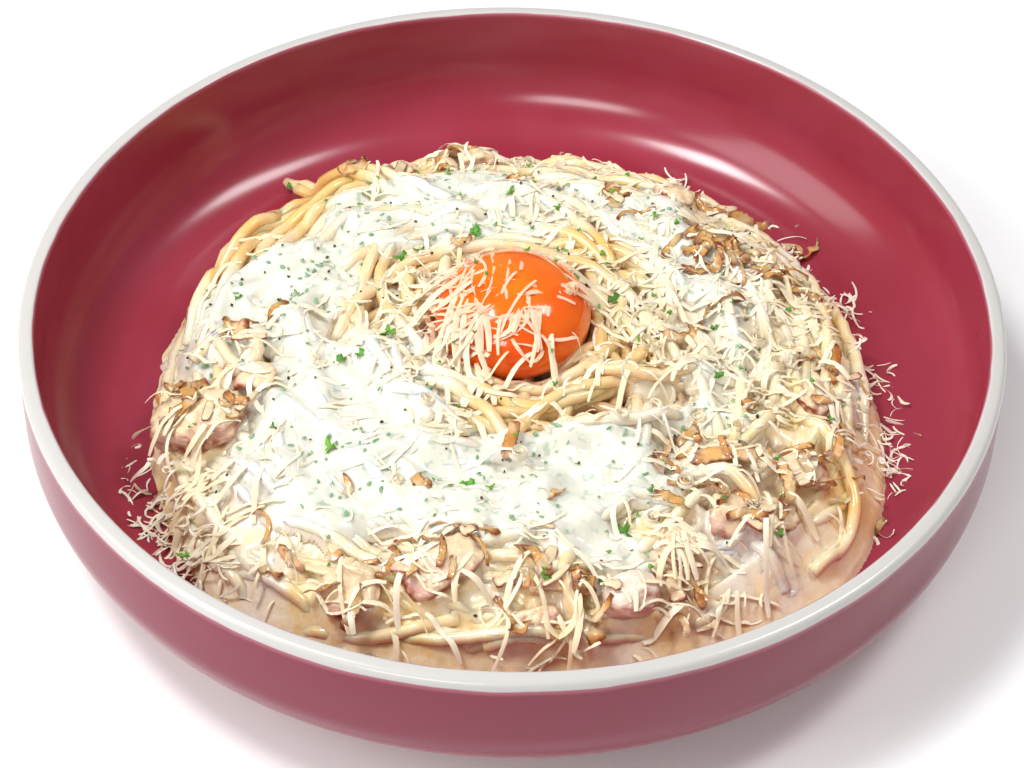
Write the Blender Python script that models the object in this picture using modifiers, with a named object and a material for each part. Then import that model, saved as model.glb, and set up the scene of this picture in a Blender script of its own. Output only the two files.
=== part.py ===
"""Spaghetti carbonara in its wide glazed bowl, with herbed cream, bacon, fried onion and an egg yolk.

Run with: blender --background --python part.py
Lengths are metres, +Z is up. The origin is the centre of the foot ring, on the table, and -Y is the front.
"""

import math
import random

import bmesh
import bpy
from mathutils import Euler, Matrix, Vector, noise

MM = 0.001

# Driving dimensions of the bowl.
RIM_RADIUS = 110 * MM
BOWL_HEIGHT = 44 * MM
LIP_WIDTH = 3.8 * MM
LIP_DROP = 1.4 * MM
OUTSIDE_UPRIGHT = 15.5 * MM
INSIDE_DEPTH = 31.5 * MM
INSIDE_CORNER = 17.5 * MM
OUTSIDE_CORNER = 17.7 * MM
FOOT_RADIUS = 66 * MM
FOOT_WIDTH = 3.4 * MM
FOOT_HEIGHT = 4.6 * MM
FOOT_FILLET = 1.2 * MM
UNDERSIDE_RISE = 2.4 * MM
FLOOR_Z = BOWL_HEIGHT - INSIDE_DEPTH
BOWL_STEPS = 48
SHARP_ANGLE = math.radians(40)
ON_RIM = 1e-4

# Driving dimensions of the food.
GAP = 0.35 * MM
HEAP_RADIUS = 81.5 * MM
HEAP_HEIGHT = 22.6 * MM
HEAP_WAVES = 0.034
HEAP_FOLD_HEIGHT = 1.7 * MM
HEAP_FOLD_WIDTH = 15 * MM
HEAP_SEGMENTS, HEAP_RINGS = 34, 14
SAUCE_RADIUS = 84 * MM
SAUCE_WAVES = 0.024
SAUCE_BACK_DEPTH = 2.2 * MM
SAUCE_FRONT_DEPTH = 5.4 * MM
SAUCE_SEGMENTS, SAUCE_RINGS = 36, 8
STRAND_RADIUS = 1.5 * MM
STRAND_COUNT = 10
STRAND_STEPS = 8
CREAM_THICKNESS = 2.9 * MM
CREAM_SUNK = 1.5 * MM
CREAM_SEGMENTS, CREAM_RINGS = 20, 6
CREAM_LEAST_REACH = 8
CREAM_EASING = (-0.3, -0.15, 0.0, 0.15, 0.3)
YOLK_RADIUS = 18 * MM
YOLK_HALF_HEIGHT = 11.5 * MM
YOLK_PLACE = (0.0, 5 * MM)
YOLK_LIFT = 0.8 * MM

# How far the toppings stand out: shares of a chunk's height, of a slice's curl and of an onion strip's curl.
CHUNK_PROUD = 0.15
SLICE_PROUD = 0.6
ONION_PROUD = 0.4

# How far out a surface that faces a cutter stands from it, as shares of the gap.
TOPPING_CLEARANCE = 1.3
STRAND_CLEARANCE = 1.6

# Where the food was pushed further out than its round outline: direction and spread (degrees), and how far (mm).
BULGES = (
    (-42, 14, 8.0),
    (-130, 14, 4.5),
)

# Cream patches: name, the point they spread from, and the lobes they ran out to, as x, y and radius (mm).
CREAM_PATCHES = (
    (
        "cream_front",
        (-22, -42),
        (
            (-49, -24, 13),
            (-53, -42, 9),
            (-37, -47, 13),
            (-12, -46, 14),
            (9, -42, 13),
            (27, -45, 12),
            (42, -30, 9),
            (-32, -17, 10),
        ),
    ),
    ("cream_left", (-60, 12), ((-66, 9, 9), (-54, 25, 9), (-71, -4, 6), (-57, 4, 7))),
    ("cream_back", (-18, 44), ((-39, 44, 10), (-15, 46, 12), (5, 43, 12), (-27, 33, 7))),
    ("cream_right", (34, 37), ((29, 42, 9), (44, 31, 9), (40, 21, 8))),
)

# Bacon slices: x, y (mm), turn (degrees), length, width, thickness (mm), curl (degrees).
BACON_SLICES = (
    (-57, -13, -20, 10, 7, 2.6, 40),
    (-33, -70, 15, 15, 10, 3.0, 130),
    (-14, -67, 35, 19, 11, 2.4, 60),
    (36, -59, 70, 11, 8, 2.2, 150),
    (47, -51, 85, 13, 9, 2.8, 140),
    (64, -36, 15, 13, 8, 2.6, 80),
    (57, -49, 20, 12, 8, 2.8, 60),
    (68, -13, 60, 11, 8, 2.4, 40),
    (6, -76, 12, 11, 5, 2.2, 20),
    (38, 54, -40, 10, 6, 2.4, 60),
    (-9, 66, 10, 10, 6, 2.6, 70),
)

# Bacon chunks: x, y (mm), turn (degrees), length, width, height (mm).
BACON_CHUNKS = (
    (-69, -22, -12, 24, 15, 9),
    (26, -70, 25, 13, 10, 8.5),
)

# Fried onion strips: x, y (mm), turn (degrees), length, width, thickness (mm), curl (degrees), lift (mm).
ONION_STRIPS = (
    (-65, 1, 5, 13, 2.6, 1.2, 150, 0.4),
    (47, -37, 12, 18, 4.6, 1.5, 50, 1.2),
    (10, -70, -4, 19, 3.0, 1.3, 60, 0.6),
    (73, 2, 85, 12, 2.8, 1.2, 40, 0.4),
    (47, 32, -50, 10, 3.2, 1.3, 110, 0.8),
    (40, -66, -65, 10, 2.2, 1.2, 30, 0.4),
    (0, -36, 80, 12, 3.0, 1.4, 20, 2.9),
    (60, 28, -35, 9, 3.0, 1.3, 100, 0.4),
    (-46, -62, -50, 10, 2.6, 1.2, 90, 0.4),
)


def start_scene():
    """Clears the scene and makes the collection of the parts and that of the cutters."""
    for old in list(bpy.data.objects):
        bpy.data.objects.remove(old)
    for name in ("spaghetti_carbonara", "cutters"):
        collection = bpy.data.collections.new(name)
        bpy.context.scene.collection.children.link(collection)
    bpy.data.collections["cutters"].hide_render = True


def material(name, colour, roughness, metallic=0.0):
    """A plain Principled material."""
    made = bpy.data.materials.new(name)
    made.use_nodes = True
    shader = made.node_tree.nodes["Principled BSDF"]
    shader.inputs["Base Color"].default_value = (*colour, 1.0)
    shader.inputs["Roughness"].default_value = roughness
    shader.inputs["Metallic"].default_value = metallic
    made.diffuse_color = (*colour, 1.0)
    return made


def object_from(bm, name, finish=None, collection="spaghetti_carbonara"):
    """Turns a bmesh into a named object, with its faces turned outwards."""
    bmesh.ops.recalc_face_normals(bm, faces=bm.faces)
    mesh = bpy.data.meshes.new(name)
    bm.to_mesh(mesh)
    bm.free()
    mesh.shade_smooth()
    mesh.set_sharp_from_angle(angle=SHARP_ANGLE)
    made = bpy.data.objects.new(name, mesh)
    bpy.data.collections[collection].objects.link(made)
    if finish:
        mesh.materials.append(finish)
    return made


def arc(centre_r, centre_z, radius, first, last, steps):
    """Profile points on a circular arc, with angles in degrees from +R towards +Z."""
    points = []
    for i in range(steps + 1):
        angle = math.radians(first + (last - first) * i / steps)
        points.append((centre_r + radius * math.cos(angle), centre_z + radius * math.sin(angle)))
    return points


def bowl_profile():
    """The bowl's section from the top of the lip down the outside, under the foot and back up the inside."""
    lip_z = BOWL_HEIGHT - LIP_DROP
    outside = RIM_RADIUS - OUTSIDE_CORNER
    outer_bottom = lip_z - OUTSIDE_UPRIGHT - OUTSIDE_CORNER
    foot_top = outer_bottom - UNDERSIDE_RISE
    foot_inside = FOOT_RADIUS - FOOT_WIDTH
    inside_wall = RIM_RADIUS - LIP_WIDTH
    inside = inside_wall - INSIDE_CORNER
    points = [(inside_wall + LIP_WIDTH * 0.3, BOWL_HEIGHT)]
    points += [(RIM_RADIUS - LIP_WIDTH * 0.3, BOWL_HEIGHT - LIP_DROP * 0.3)]
    points += [(RIM_RADIUS, lip_z)]
    points += arc(outside, outer_bottom + OUTSIDE_CORNER, OUTSIDE_CORNER, 0, -90, 5)
    points += [(FOOT_RADIUS + FOOT_FILLET, foot_top), (FOOT_RADIUS, foot_top - FOOT_FILLET)]
    points += [(FOOT_RADIUS - FOOT_WIDTH / 4, 0.0), (foot_inside, 0.0)]
    points += [(foot_inside - FOOT_FILLET, FOOT_HEIGHT), (0.0, FOOT_HEIGHT + FOOT_FILLET)]
    points += [(0.0, FLOOR_Z)]
    points += arc(inside, FLOOR_Z + INSIDE_CORNER, INSIDE_CORNER, -90, 0, 6)
    points += [(inside_wall, BOWL_HEIGHT - LIP_WIDTH * 0.25)]
    return points


def make_bowl():
    """The bowl, a turned profile."""
    points = bowl_profile()
    mesh = bpy.data.meshes.new("bowl")
    edges = [(i, (i + 1) % len(points)) for i in range(len(points))]
    axis_edge = next(i for i, (r, z) in enumerate(points) if r == 0.0)
    edges.remove((axis_edge, axis_edge + 1))
    mesh.from_pydata([(r, 0.0, z) for r, z in points], edges, [])
    bowl = bpy.data.objects.new("bowl", mesh)
    bpy.data.collections["spaghetti_carbonara"].objects.link(bowl)
    screw = bowl.modifiers.new("turn", "SCREW")
    screw.steps = screw.render_steps = BOWL_STEPS
    screw.use_merge_vertices = True
    screw.merge_threshold = 0.00005
    screw.use_normal_calculate = True
    mesh.materials.append(material("rose_glaze", (0.38, 0.055, 0.10), 0.12))
    return bowl


def wavy(angle, amount, phase):
    """A factor near 1 that varies round an outline, so that the outline is uneven."""
    waves = math.sin(3 * angle + phase) + 0.6 * math.sin(5 * angle + 2.3 * phase) + 0.4 * math.sin(8 * angle - phase)
    return 1 + amount * waves / 2


def bulge(angle):
    """How much further than its round outline the food reaches in one direction."""
    total = 0.0
    for middle, spread, reach in BULGES:
        away = (math.degrees(angle) - middle + 180) % 360 - 180
        total += reach * MM * math.exp(-(away**2) / (2 * spread**2))
    return total


def smooth(value):
    """Eases a share from 0 to 1."""
    share = min(1.0, max(0.0, value))
    return share * share * (3 - 2 * share)


def sauce_top(x, y):
    """Height of the sauce, which stands deeper towards the front."""
    front = smooth(0.5 - y / (2 * SAUCE_RADIUS))
    return FLOOR_Z + GAP + SAUCE_BACK_DEPTH + (SAUCE_FRONT_DEPTH - SAUCE_BACK_DEPTH) * front


def heap_outline(angle):
    """Plan radius of the pasta heap in one direction."""
    return HEAP_RADIUS * wavy(angle, HEAP_WAVES, 1.1) + bulge(angle)


def heap_top(x, y):
    """Height of the pasta heap's top, a flat dome with soft folds."""
    share = min(1.0, math.hypot(x, y) / heap_outline(math.atan2(y, x)))
    dome = HEAP_HEIGHT * math.sqrt(max(0.0, 1 - share**4))
    folds = HEAP_FOLD_HEIGHT * noise.noise(Vector((x / HEAP_FOLD_WIDTH, y / HEAP_FOLD_WIDTH, 3.7)))
    return FLOOR_Z + GAP + dome + folds * (1 - share**6)


def pillow(name, finish, centre, outline, lower, upper, segments, rings, full=False):
    """A closed blob between two height functions, made from a sphere primitive.

    The sphere's upper half follows upper and its lower half follows lower. A full blob keeps to them right
    out to its rim, and any other thins out towards it. The number of rings is even, so that one is the rim.
    """
    bm = bmesh.new()
    bmesh.ops.create_uvsphere(bm, u_segments=segments, v_segments=rings, radius=1.0)
    for vert in bm.verts:
        level = vert.co.z
        angle = math.atan2(vert.co.y, vert.co.x)
        polar = math.acos(min(1.0, abs(level)))
        share = math.sin(polar) if full else math.sqrt(math.sin(polar)) * polar / (math.pi / 2)
        reach = outline(angle) * min(1.0, share)
        x = centre[0] + reach * math.cos(angle)
        y = centre[1] + reach * math.sin(angle)
        low, high = lower(x, y), upper(x, y)
        middle = (low + high) / 2
        on_rim = abs(level) < ON_RIM
        swell = 0.0 if on_rim else 1.0 if full else math.sqrt(min(1.0, abs(level)))
        vert.co = (x, y, middle + math.copysign(swell, level) * (high - low) / 2)
    bmesh.ops.triangulate(bm, faces=bm.faces)
    return object_from(bm, name, finish)


def make_sauce():
    """The pool of carbonara sauce that the pasta lies in."""
    beige = material("carbonara_sauce", (0.78, 0.64, 0.47), 0.3)
    return pillow(
        "carbonara_sauce",
        beige,
        (0.0, 0.0),
        lambda angle: SAUCE_RADIUS * wavy(angle, SAUCE_WAVES, 2.0) + bulge(angle),
        lambda x, y: FLOOR_Z + GAP,
        sauce_top,
        SAUCE_SEGMENTS,
        SAUCE_RINGS,
    )


def strand_path(rng, index):
    """Points of one strand that swirls round the heap and lies half sunk in its top."""
    radius = rng.uniform(46, 76) * MM
    start = math.radians(index * 360 / STRAND_COUNT + rng.uniform(-12, 12))
    sweep = math.radians(rng.uniform(30, 52)) * rng.choice((-1, 1))
    drift = rng.uniform(-16, 16) * MM
    points = []
    for i in range(STRAND_STEPS + 1):
        share = i / STRAND_STEPS
        angle = start + sweep * share
        reach = min(radius + drift * math.sin(math.pi * share), heap_outline(angle) - 1.5 * STRAND_RADIUS)
        x, y = reach * math.cos(angle), reach * math.sin(angle)
        ends = 2.6 * STRAND_RADIUS * (2 * share - 1) ** 6
        points.append((x, y, heap_top(x, y) + 0.35 * STRAND_RADIUS - ends))
    return points


def strand_mesh(points):
    """One strand as a closed tube mesh object among the cutters, ready for a Boolean."""
    curve = bpy.data.curves.new("strand", "CURVE")
    curve.dimensions = "3D"
    curve.bevel_depth = STRAND_RADIUS
    curve.bevel_resolution = 0
    curve.use_fill_caps = True
    spline = curve.splines.new("POLY")
    spline.points.add(len(points) - 1)
    for point, place in zip(spline.points, points):
        point.co = (*place, 1.0)
    tube = bpy.data.objects.new("strand", curve)
    bpy.data.collections["cutters"].objects.link(tube)
    bpy.context.view_layer.update()
    graph = bpy.context.evaluated_depsgraph_get()
    mesh = bpy.data.meshes.new_from_object(tube.evaluated_get(graph))
    made = bpy.data.objects.new("strand_solid", mesh)
    bpy.data.collections["cutters"].objects.link(made)
    made.matrix_world = tube.matrix_world
    bpy.data.objects.remove(tube)
    bm = bmesh.new()
    bm.from_mesh(mesh)
    bmesh.ops.remove_doubles(bm, verts=bm.verts, dist=0.00002)
    bmesh.ops.recalc_face_normals(bm, faces=bm.faces)
    bm.to_mesh(mesh)
    bm.free()
    made.hide_render = True
    made.display_type = "WIRE"
    return made


def boolean(target, other, operation):
    """Adds an EXACT Boolean modifier."""
    modifier = target.modifiers.new(f"{operation.lower()}_{other.name}", "BOOLEAN")
    modifier.operation = operation
    modifier.solver = "EXACT"
    modifier.object = other
    return modifier


def make_heap():
    """The heap of spaghetti: a dome out to its uneven outline, with strands lying in its surface."""
    pasta = material("spaghetti", (0.86, 0.68, 0.38), 0.4)
    heap = pillow(
        "spaghetti_heap",
        pasta,
        (0.0, 0.0),
        heap_outline,
        lambda x, y: sauce_top(x, y) + GAP,
        lambda x, y: max(heap_top(x, y), sauce_top(x, y) + 3 * GAP),
        HEAP_SEGMENTS,
        HEAP_RINGS,
        full=True,
    )
    rng = random.Random(7)
    strands = [strand_mesh(strand_path(rng, index)) for index in range(STRAND_COUNT)]
    for strand in strands:
        boolean(heap, strand, "UNION")
    return heap, strands


def grown_copy(piece, amount):
    """A cutter of the piece's shape, grown all round by amount."""
    cutter = bpy.data.objects.new(f"{piece.name}_cutter", piece.data)
    bpy.data.collections["cutters"].objects.link(cutter)
    cutter.location = piece.location
    cutter.rotation_euler = piece.rotation_euler
    for modifier in piece.modifiers:
        if modifier.type == "SOLIDIFY":
            shell = cutter.modifiers.new("shell", "SOLIDIFY")
            shell.thickness = modifier.thickness
            shell.offset = modifier.offset
    grow = cutter.modifiers.new("grow", "DISPLACE")
    grow.strength = amount
    grow.mid_level = 0.0
    cutter.hide_render = True
    cutter.display_type = "WIRE"
    return cutter


def lie_on_heap(piece, x, y, turn, lift):
    """Places a piece on the heap at x, y, turned about the vertical and tilted to the heap's slope."""
    step = 4 * MM
    slope = Vector((
        -(heap_top(x + step, y) - heap_top(x - step, y)) / (2 * step),
        -(heap_top(x, y + step) - heap_top(x, y - step)) / (2 * step),
        1.0,
    )).normalized()
    tilt = Vector((0, 0, 1)).rotation_difference(slope).to_matrix().to_4x4()
    spin = Matrix.Rotation(math.radians(turn), 4, "Z")
    piece.rotation_euler = (tilt @ spin).to_euler()
    piece.location = Vector((x, y, heap_top(x, y))) + slope * lift


def curled_slice(name, finish, length, width, thickness, curl, seed, across=2):
    """A thin slice that curls along its length, with a wavy edge: a bent grid given thickness."""
    bm = bmesh.new()
    bmesh.ops.create_grid(bm, x_segments=5, y_segments=across, size=0.5)
    bend = math.radians(curl)
    for vert in bm.verts:
        along, side = vert.co.x, vert.co.y
        wobble = noise.noise(Vector((along * 2.3 + seed, side * 1.7, seed * 0.37)))
        half = width * side * (1 + 0.35 * wobble) * (1 - 0.35 * (2 * along) ** 4)
        radius = length / bend
        angle = along * bend
        bow = radius * (1 - math.cos(angle))
        vert.co = (radius * math.sin(angle), half, -bow + length * 0.05 * wobble + bow_centre(length, bend))
    made = object_from(bm, name, finish)
    shell = made.modifiers.new("shell", "SOLIDIFY")
    shell.thickness = thickness
    shell.offset = 0.0
    return made


def bow_centre(length, bend):
    """Half the height of an arc of this length and bend, so that the slice is centred on its origin."""
    return length / bend * (1 - math.cos(bend / 2)) / 2


def chunk(name, finish, length, width, height, seed):
    """A lump of bacon: a low-polygon sphere pushed towards a rounded block, with an uneven surface."""
    bm = bmesh.new()
    bmesh.ops.create_uvsphere(bm, u_segments=14, v_segments=8, radius=1.0)
    for vert in bm.verts:
        direction = vert.co.normalized()
        block = max(abs(direction.x), abs(direction.y), abs(direction.z)) ** -0.45
        lump = 1 + 0.22 * noise.noise(direction * 1.6 + Vector((seed, 0, 0)))
        vert.co = Vector((direction.x * length, direction.y * width, direction.z * height)) * (block * lump / 2)
    return object_from(bm, name, finish)


def curl_rise(length, curl):
    """How far a curled strip's middle stands over the line between its ends, roughly."""
    return length * math.sin(math.radians(curl) / 4) / 4


def make_toppings():
    """The bacon and the fried onion, each piece a solid that lies partly sunk in the heap."""
    bacon = material("bacon", (0.55, 0.24, 0.18), 0.35)
    onion = material("fried_onion", (0.50, 0.20, 0.04), 0.5)
    pieces = []
    for number, (x, y, turn, length, width, height) in enumerate(BACON_CHUNKS, 1):
        piece = chunk(f"bacon_chunk_{number}", bacon, length * MM, width * MM, height * MM, number * 5.3)
        lie_on_heap(piece, x * MM, y * MM, turn, height * MM * CHUNK_PROUD)
        pieces.append(piece)
    for number, (x, y, turn, length, width, thickness, curl) in enumerate(BACON_SLICES, 1):
        piece = curled_slice(
            f"bacon_slice_{number}", bacon, length * MM, width * MM, thickness * MM, curl, number * 3.1
        )
        lift = curl_rise(length * MM, curl) * SLICE_PROUD + thickness * MM * SLICE_PROUD / 3
        lie_on_heap(piece, x * MM, y * MM, turn, lift)
        pieces.append(piece)
    for number, (x, y, turn, length, width, thickness, curl, lift) in enumerate(ONION_STRIPS, 1):
        piece = curled_slice(
            f"onion_strip_{number}", onion, length * MM, width * MM, thickness * MM, curl, number * 4.3, 1
        )
        lie_on_heap(piece, x * MM, y * MM, turn, curl_rise(length * MM, curl) * ONION_PROUD + lift * MM)
        pieces.append(piece)
    return pieces


def make_yolk():
    """The raw yolk, a flattened ball resting in the nest at the top of the heap."""
    bm = bmesh.new()
    bmesh.ops.create_uvsphere(bm, u_segments=22, v_segments=10, radius=1.0)
    bmesh.ops.scale(bm, verts=bm.verts, vec=(YOLK_RADIUS, YOLK_RADIUS, YOLK_HALF_HEIGHT))
    yolk = object_from(bm, "egg_yolk", material("egg_yolk", (0.95, 0.17, 0.01), 0.15))
    x, y = YOLK_PLACE
    yolk.location = (x, y, FLOOR_Z + GAP + HEAP_HEIGHT + YOLK_LIFT)
    return yolk


def lobed_reach(centre, lobes, angle):
    """How far a patch reaches from its centre in one direction: to the far side of the lobes near it, eased."""
    total = 0.0
    for turn in CREAM_EASING:
        reach = CREAM_LEAST_REACH
        ahead = complex(math.cos(angle + turn), -math.sin(angle + turn))
        for x, y, radius in lobes:
            away = complex(x - centre[0], y - centre[1]) * ahead
            if abs(away.imag) < radius:
                reach = max(reach, away.real + math.sqrt(radius**2 - away.imag**2))
        total += reach
    return total / len(CREAM_EASING) * MM


def make_cream():
    """The patches of white herbed cream that lie over the heap."""
    white = material("herbed_cream", (0.86, 0.86, 0.82), 0.25)
    patches = []
    for name, centre, lobes in CREAM_PATCHES:
        patch = pillow(
            name,
            white,
            (centre[0] * MM, centre[1] * MM),
            lambda angle, centre=centre, lobes=lobes: lobed_reach(centre, lobes, angle),
            lambda x, y: heap_top(x, y) - CREAM_SUNK,
            lambda x, y: heap_top(x, y) + CREAM_THICKNESS,
            CREAM_SEGMENTS,
            CREAM_RINGS,
        )
        patches.append(patch)
    return patches


def keep_largest(piece):
    """Bakes the piece's modifiers and drops any crumb that the cuts left loose, so that it is one body."""
    bpy.context.view_layer.update()
    graph = bpy.context.evaluated_depsgraph_get()
    bm = bmesh.new()
    bm.from_mesh(bpy.data.meshes.new_from_object(piece.evaluated_get(graph)))
    bmesh.ops.remove_doubles(bm, verts=bm.verts, dist=0.00001)
    seen, bodies = set(), []
    for first in bm.faces:
        if first in seen:
            continue
        seen.add(first)
        body, queue = [first], [first]
        while queue:
            for edge in queue.pop().edges:
                for face in edge.link_faces:
                    if len(edge.link_faces) == 2 and face not in seen:
                        seen.add(face)
                        body.append(face)
                        queue.append(face)
        bodies.append(body)
    bodies.sort(key=len)
    bmesh.ops.delete(bm, geom=[face for body in bodies[:-1] for face in body], context="FACES")
    piece.modifiers.clear()
    bm.to_mesh(piece.data)
    bm.free()


def fit_together(heap, strands, yolk, toppings, patches):
    """Cuts the heap round what is sunk in it, and the cream where it lies on the heap and round the rest."""
    bed = grown_copy(heap, GAP * TOPPING_CLEARANCE)
    grown = [grown_copy(strand, GAP * STRAND_CLEARANCE) for strand in strands]
    sunk = [grown_copy(piece, GAP * TOPPING_CLEARANCE) for piece in [yolk, *toppings]]
    for cutter in sunk:
        boolean(heap, cutter, "DIFFERENCE")
    for patch in patches:
        for cutter in [bed, *grown, *sunk]:
            boolean(patch, cutter, "DIFFERENCE")
    for piece in [*patches, heap]:
        keep_largest(piece)


def main():
    """Builds the whole part."""
    start_scene()
    make_bowl()
    make_sauce()
    heap, strands = make_heap()
    yolk = make_yolk()
    toppings = make_toppings()
    patches = make_cream()
    fit_together(heap, strands, yolk, toppings, patches)


main()
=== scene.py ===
"""Looks of the spaghetti carbonara: glazed bowl, sauced pasta, herbed cream, toppings, camera and light.

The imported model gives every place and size. The heap's top is read from its solid as a height map, strands
are laid on it one by one, sauce and cream are run over them, and the toppings settle on what lies below.
Lengths are metres unless a name or a comment says millimetres.
"""

import logging
import math
from collections.abc import Iterable
from dataclasses import dataclass, field, replace
from enum import Enum

import bmesh
import bpy
import numpy as np
from mathutils import Matrix, Vector
from mathutils.bvhtree import BVHTree


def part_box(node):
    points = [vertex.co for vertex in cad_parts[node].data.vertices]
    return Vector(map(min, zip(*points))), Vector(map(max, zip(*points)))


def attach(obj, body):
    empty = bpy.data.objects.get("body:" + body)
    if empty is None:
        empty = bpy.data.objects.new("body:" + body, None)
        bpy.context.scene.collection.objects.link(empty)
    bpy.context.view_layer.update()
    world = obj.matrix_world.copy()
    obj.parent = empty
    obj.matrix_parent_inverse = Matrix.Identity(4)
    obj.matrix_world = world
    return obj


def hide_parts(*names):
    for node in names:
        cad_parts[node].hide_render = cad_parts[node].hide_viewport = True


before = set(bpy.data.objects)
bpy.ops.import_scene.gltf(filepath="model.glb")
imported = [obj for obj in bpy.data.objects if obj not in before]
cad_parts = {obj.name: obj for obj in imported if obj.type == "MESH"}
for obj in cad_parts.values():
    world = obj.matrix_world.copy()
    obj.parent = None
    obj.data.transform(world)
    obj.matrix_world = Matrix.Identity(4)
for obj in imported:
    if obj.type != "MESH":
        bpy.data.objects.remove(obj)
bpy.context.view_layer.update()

MM = 0.001
BODY = "root"
BELOW_ALL, ABOVE_ALL = -100 * MM, 200 * MM
LOG = logging.getLogger("carbonara")

Array = np.ndarray
Socket = bpy.types.NodeSocket
Tree = bpy.types.NodeTree
Triple = tuple[float, float, float]
Span = tuple[float, float]
Rows = Iterable[tuple[float, ...]]
Coats = tuple[tuple[str, "Pattern"], ...]


# ---------------------------------------------------------------- finishes


def linear(colour: str) -> tuple[float, ...]:
    """Turns an sRGB hex colour into linear light, with an alpha of 1."""
    parts = [int(colour[i : i + 2], 16) / 255 for i in (1, 3, 5)]
    return (*(c / 12.92 if c <= 0.04045 else ((c + 0.055) / 1.055) ** 2.4 for c in parts), 1.0)


def add_node(
    tree: Tree, kind: str, inputs: dict | None = None, out: str | int = 0, **settings: object
) -> Socket:
    """Adds a node with its settings, values and links.

    Args:
        tree: the node tree that gets the node.
        kind: the node's type name, without ShaderNode.
        inputs: socket name or number to a value, a hex colour, or the output socket that feeds it.
        out: the name or number of the output that is wanted.
        settings: the node's own properties.

    Returns:
        That output socket.
    """
    node = tree.nodes.new("ShaderNode" + kind)
    for name, value in settings.items():
        setattr(node, name, value)
    for key, value in (inputs or {}).items():
        if isinstance(value, bpy.types.NodeSocket):
            tree.links.new(value, node.inputs[key])
        else:
            node.inputs[key].default_value = linear(value) if isinstance(value, str) else value
    return node.outputs[out]


@dataclass(frozen=True)
class Pattern:
    """Where something shows: noise, painted numbers and how far the surface faces up, cut to a span."""

    size_mm: float = 0.0
    span: Span = (0.0, 1.0)
    most: float = 1.0
    paint: str = ""
    upward: float = 0.0
    detail: float = 2.0
    distortion: float = 0.0
    stretch: Triple = (1.0, 1.0, 1.0)

    def noise(self, tree: Tree, place: Socket) -> Socket:
        """The noise alone, with features of the given size.

        Args:
            tree: the material's nodes.
            place: the object coordinates, in metres.

        Returns:
            The noise, from 0 to 1.
        """
        where = add_node(tree, "Mapping", {"Vector": place, "Scale": self.stretch})
        scale = {"Scale": 1 / (self.size_mm * MM), "Detail": self.detail, "Distortion": self.distortion}
        return add_node(tree, "TexNoise", {"Vector": where, **scale})

    def draw(self, tree: Tree, place: Socket) -> Socket:
        """The whole pattern, from 0 to its most.

        Args:
            tree: the material's nodes.
            place: the object coordinates, in metres.

        Returns:
            How strongly it shows, from 0 to its most.
        """
        parts = [self.noise(tree, place)] if self.size_mm else []
        if self.paint:
            parts.append(add_node(tree, "Attribute", out="Fac", attribute_name=self.paint))
        if self.upward:
            facing = add_node(tree, "SeparateXYZ", {0: add_node(tree, "NewGeometry", out="Normal")}, out="Z")
            parts.append(add_node(tree, "Math", {0: facing, 1: self.upward}, operation="MULTIPLY"))
        total = parts[0]
        for part in parts[1:]:
            total = add_node(tree, "Math", {0: total, 1: part}, operation="ADD")
        cut = {"From Min": self.span[0], "From Max": self.span[1], "To Max": self.most}
        return add_node(tree, "MapRange", {"Value": total, **cut})


@dataclass(frozen=True)
class Finish:
    """A real surface: its base colour, the colours that lie over it and where, its gloss and its relief."""

    name: str = "finish"
    base: str = "#808080"
    coats: Coats = ()
    relief: Pattern = Pattern(1.0, detail=3)
    relief_mm: float = 0.1
    roughness: float = 0.4
    uneven: float = 0.0
    ior: float = 1.45
    scatter: float = 0.0
    scatter_mm: Triple = (1.0, 0.6, 0.4)
    coat: float = 0.0
    coat_roughness: float = 0.1

    def make(self) -> bpy.types.Material:
        """Makes the material once and returns it ever after.

        Returns:
            The material.
        """
        found = bpy.data.materials.get(self.name)
        if found:
            return found
        made = bpy.data.materials.new(self.name)
        made.use_nodes = True
        tree = made.node_tree
        shader = tree.nodes["Principled BSDF"].inputs
        shader["Roughness"].default_value = self.roughness
        shader["IOR"].default_value = self.ior
        shader["Subsurface Weight"].default_value = self.scatter
        shader["Subsurface Radius"].default_value = self.scatter_mm
        shader["Subsurface Scale"].default_value = MM
        shader["Coat Weight"].default_value = self.coat
        shader["Coat Roughness"].default_value = self.coat_roughness
        place = add_node(tree, "TexCoord", out="Object")
        tree.links.new(self.colour(tree, place), shader["Base Color"])
        if self.uneven:
            wet = Pattern(3.2, (0.3, 0.7), 2 * self.uneven).draw(tree, place)
            rough = add_node(tree, "Math", {0: wet, 1: self.roughness - self.uneven}, operation="ADD")
            tree.links.new(rough, shader["Roughness"])
        height = self.relief.noise(tree, place)
        bump = add_node(tree, "Bump", {"Distance": self.relief_mm * MM, "Height": height})
        tree.links.new(bump, shader["Normal"])
        return made

    def colour(self, tree: Tree, place: Socket) -> Socket:
        """The base colour with each coat over those before it.

        Args:
            tree: the material's nodes.
            place: the object coordinates, in metres.

        Returns:
            The colour's socket.
        """
        body = self.base
        for colour, pattern in self.coats:
            share = pattern.draw(tree, place)
            body = add_node(tree, "Mix", {0: share, 6: body, 7: colour}, out=2, data_type="RGBA")
        return body


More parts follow.
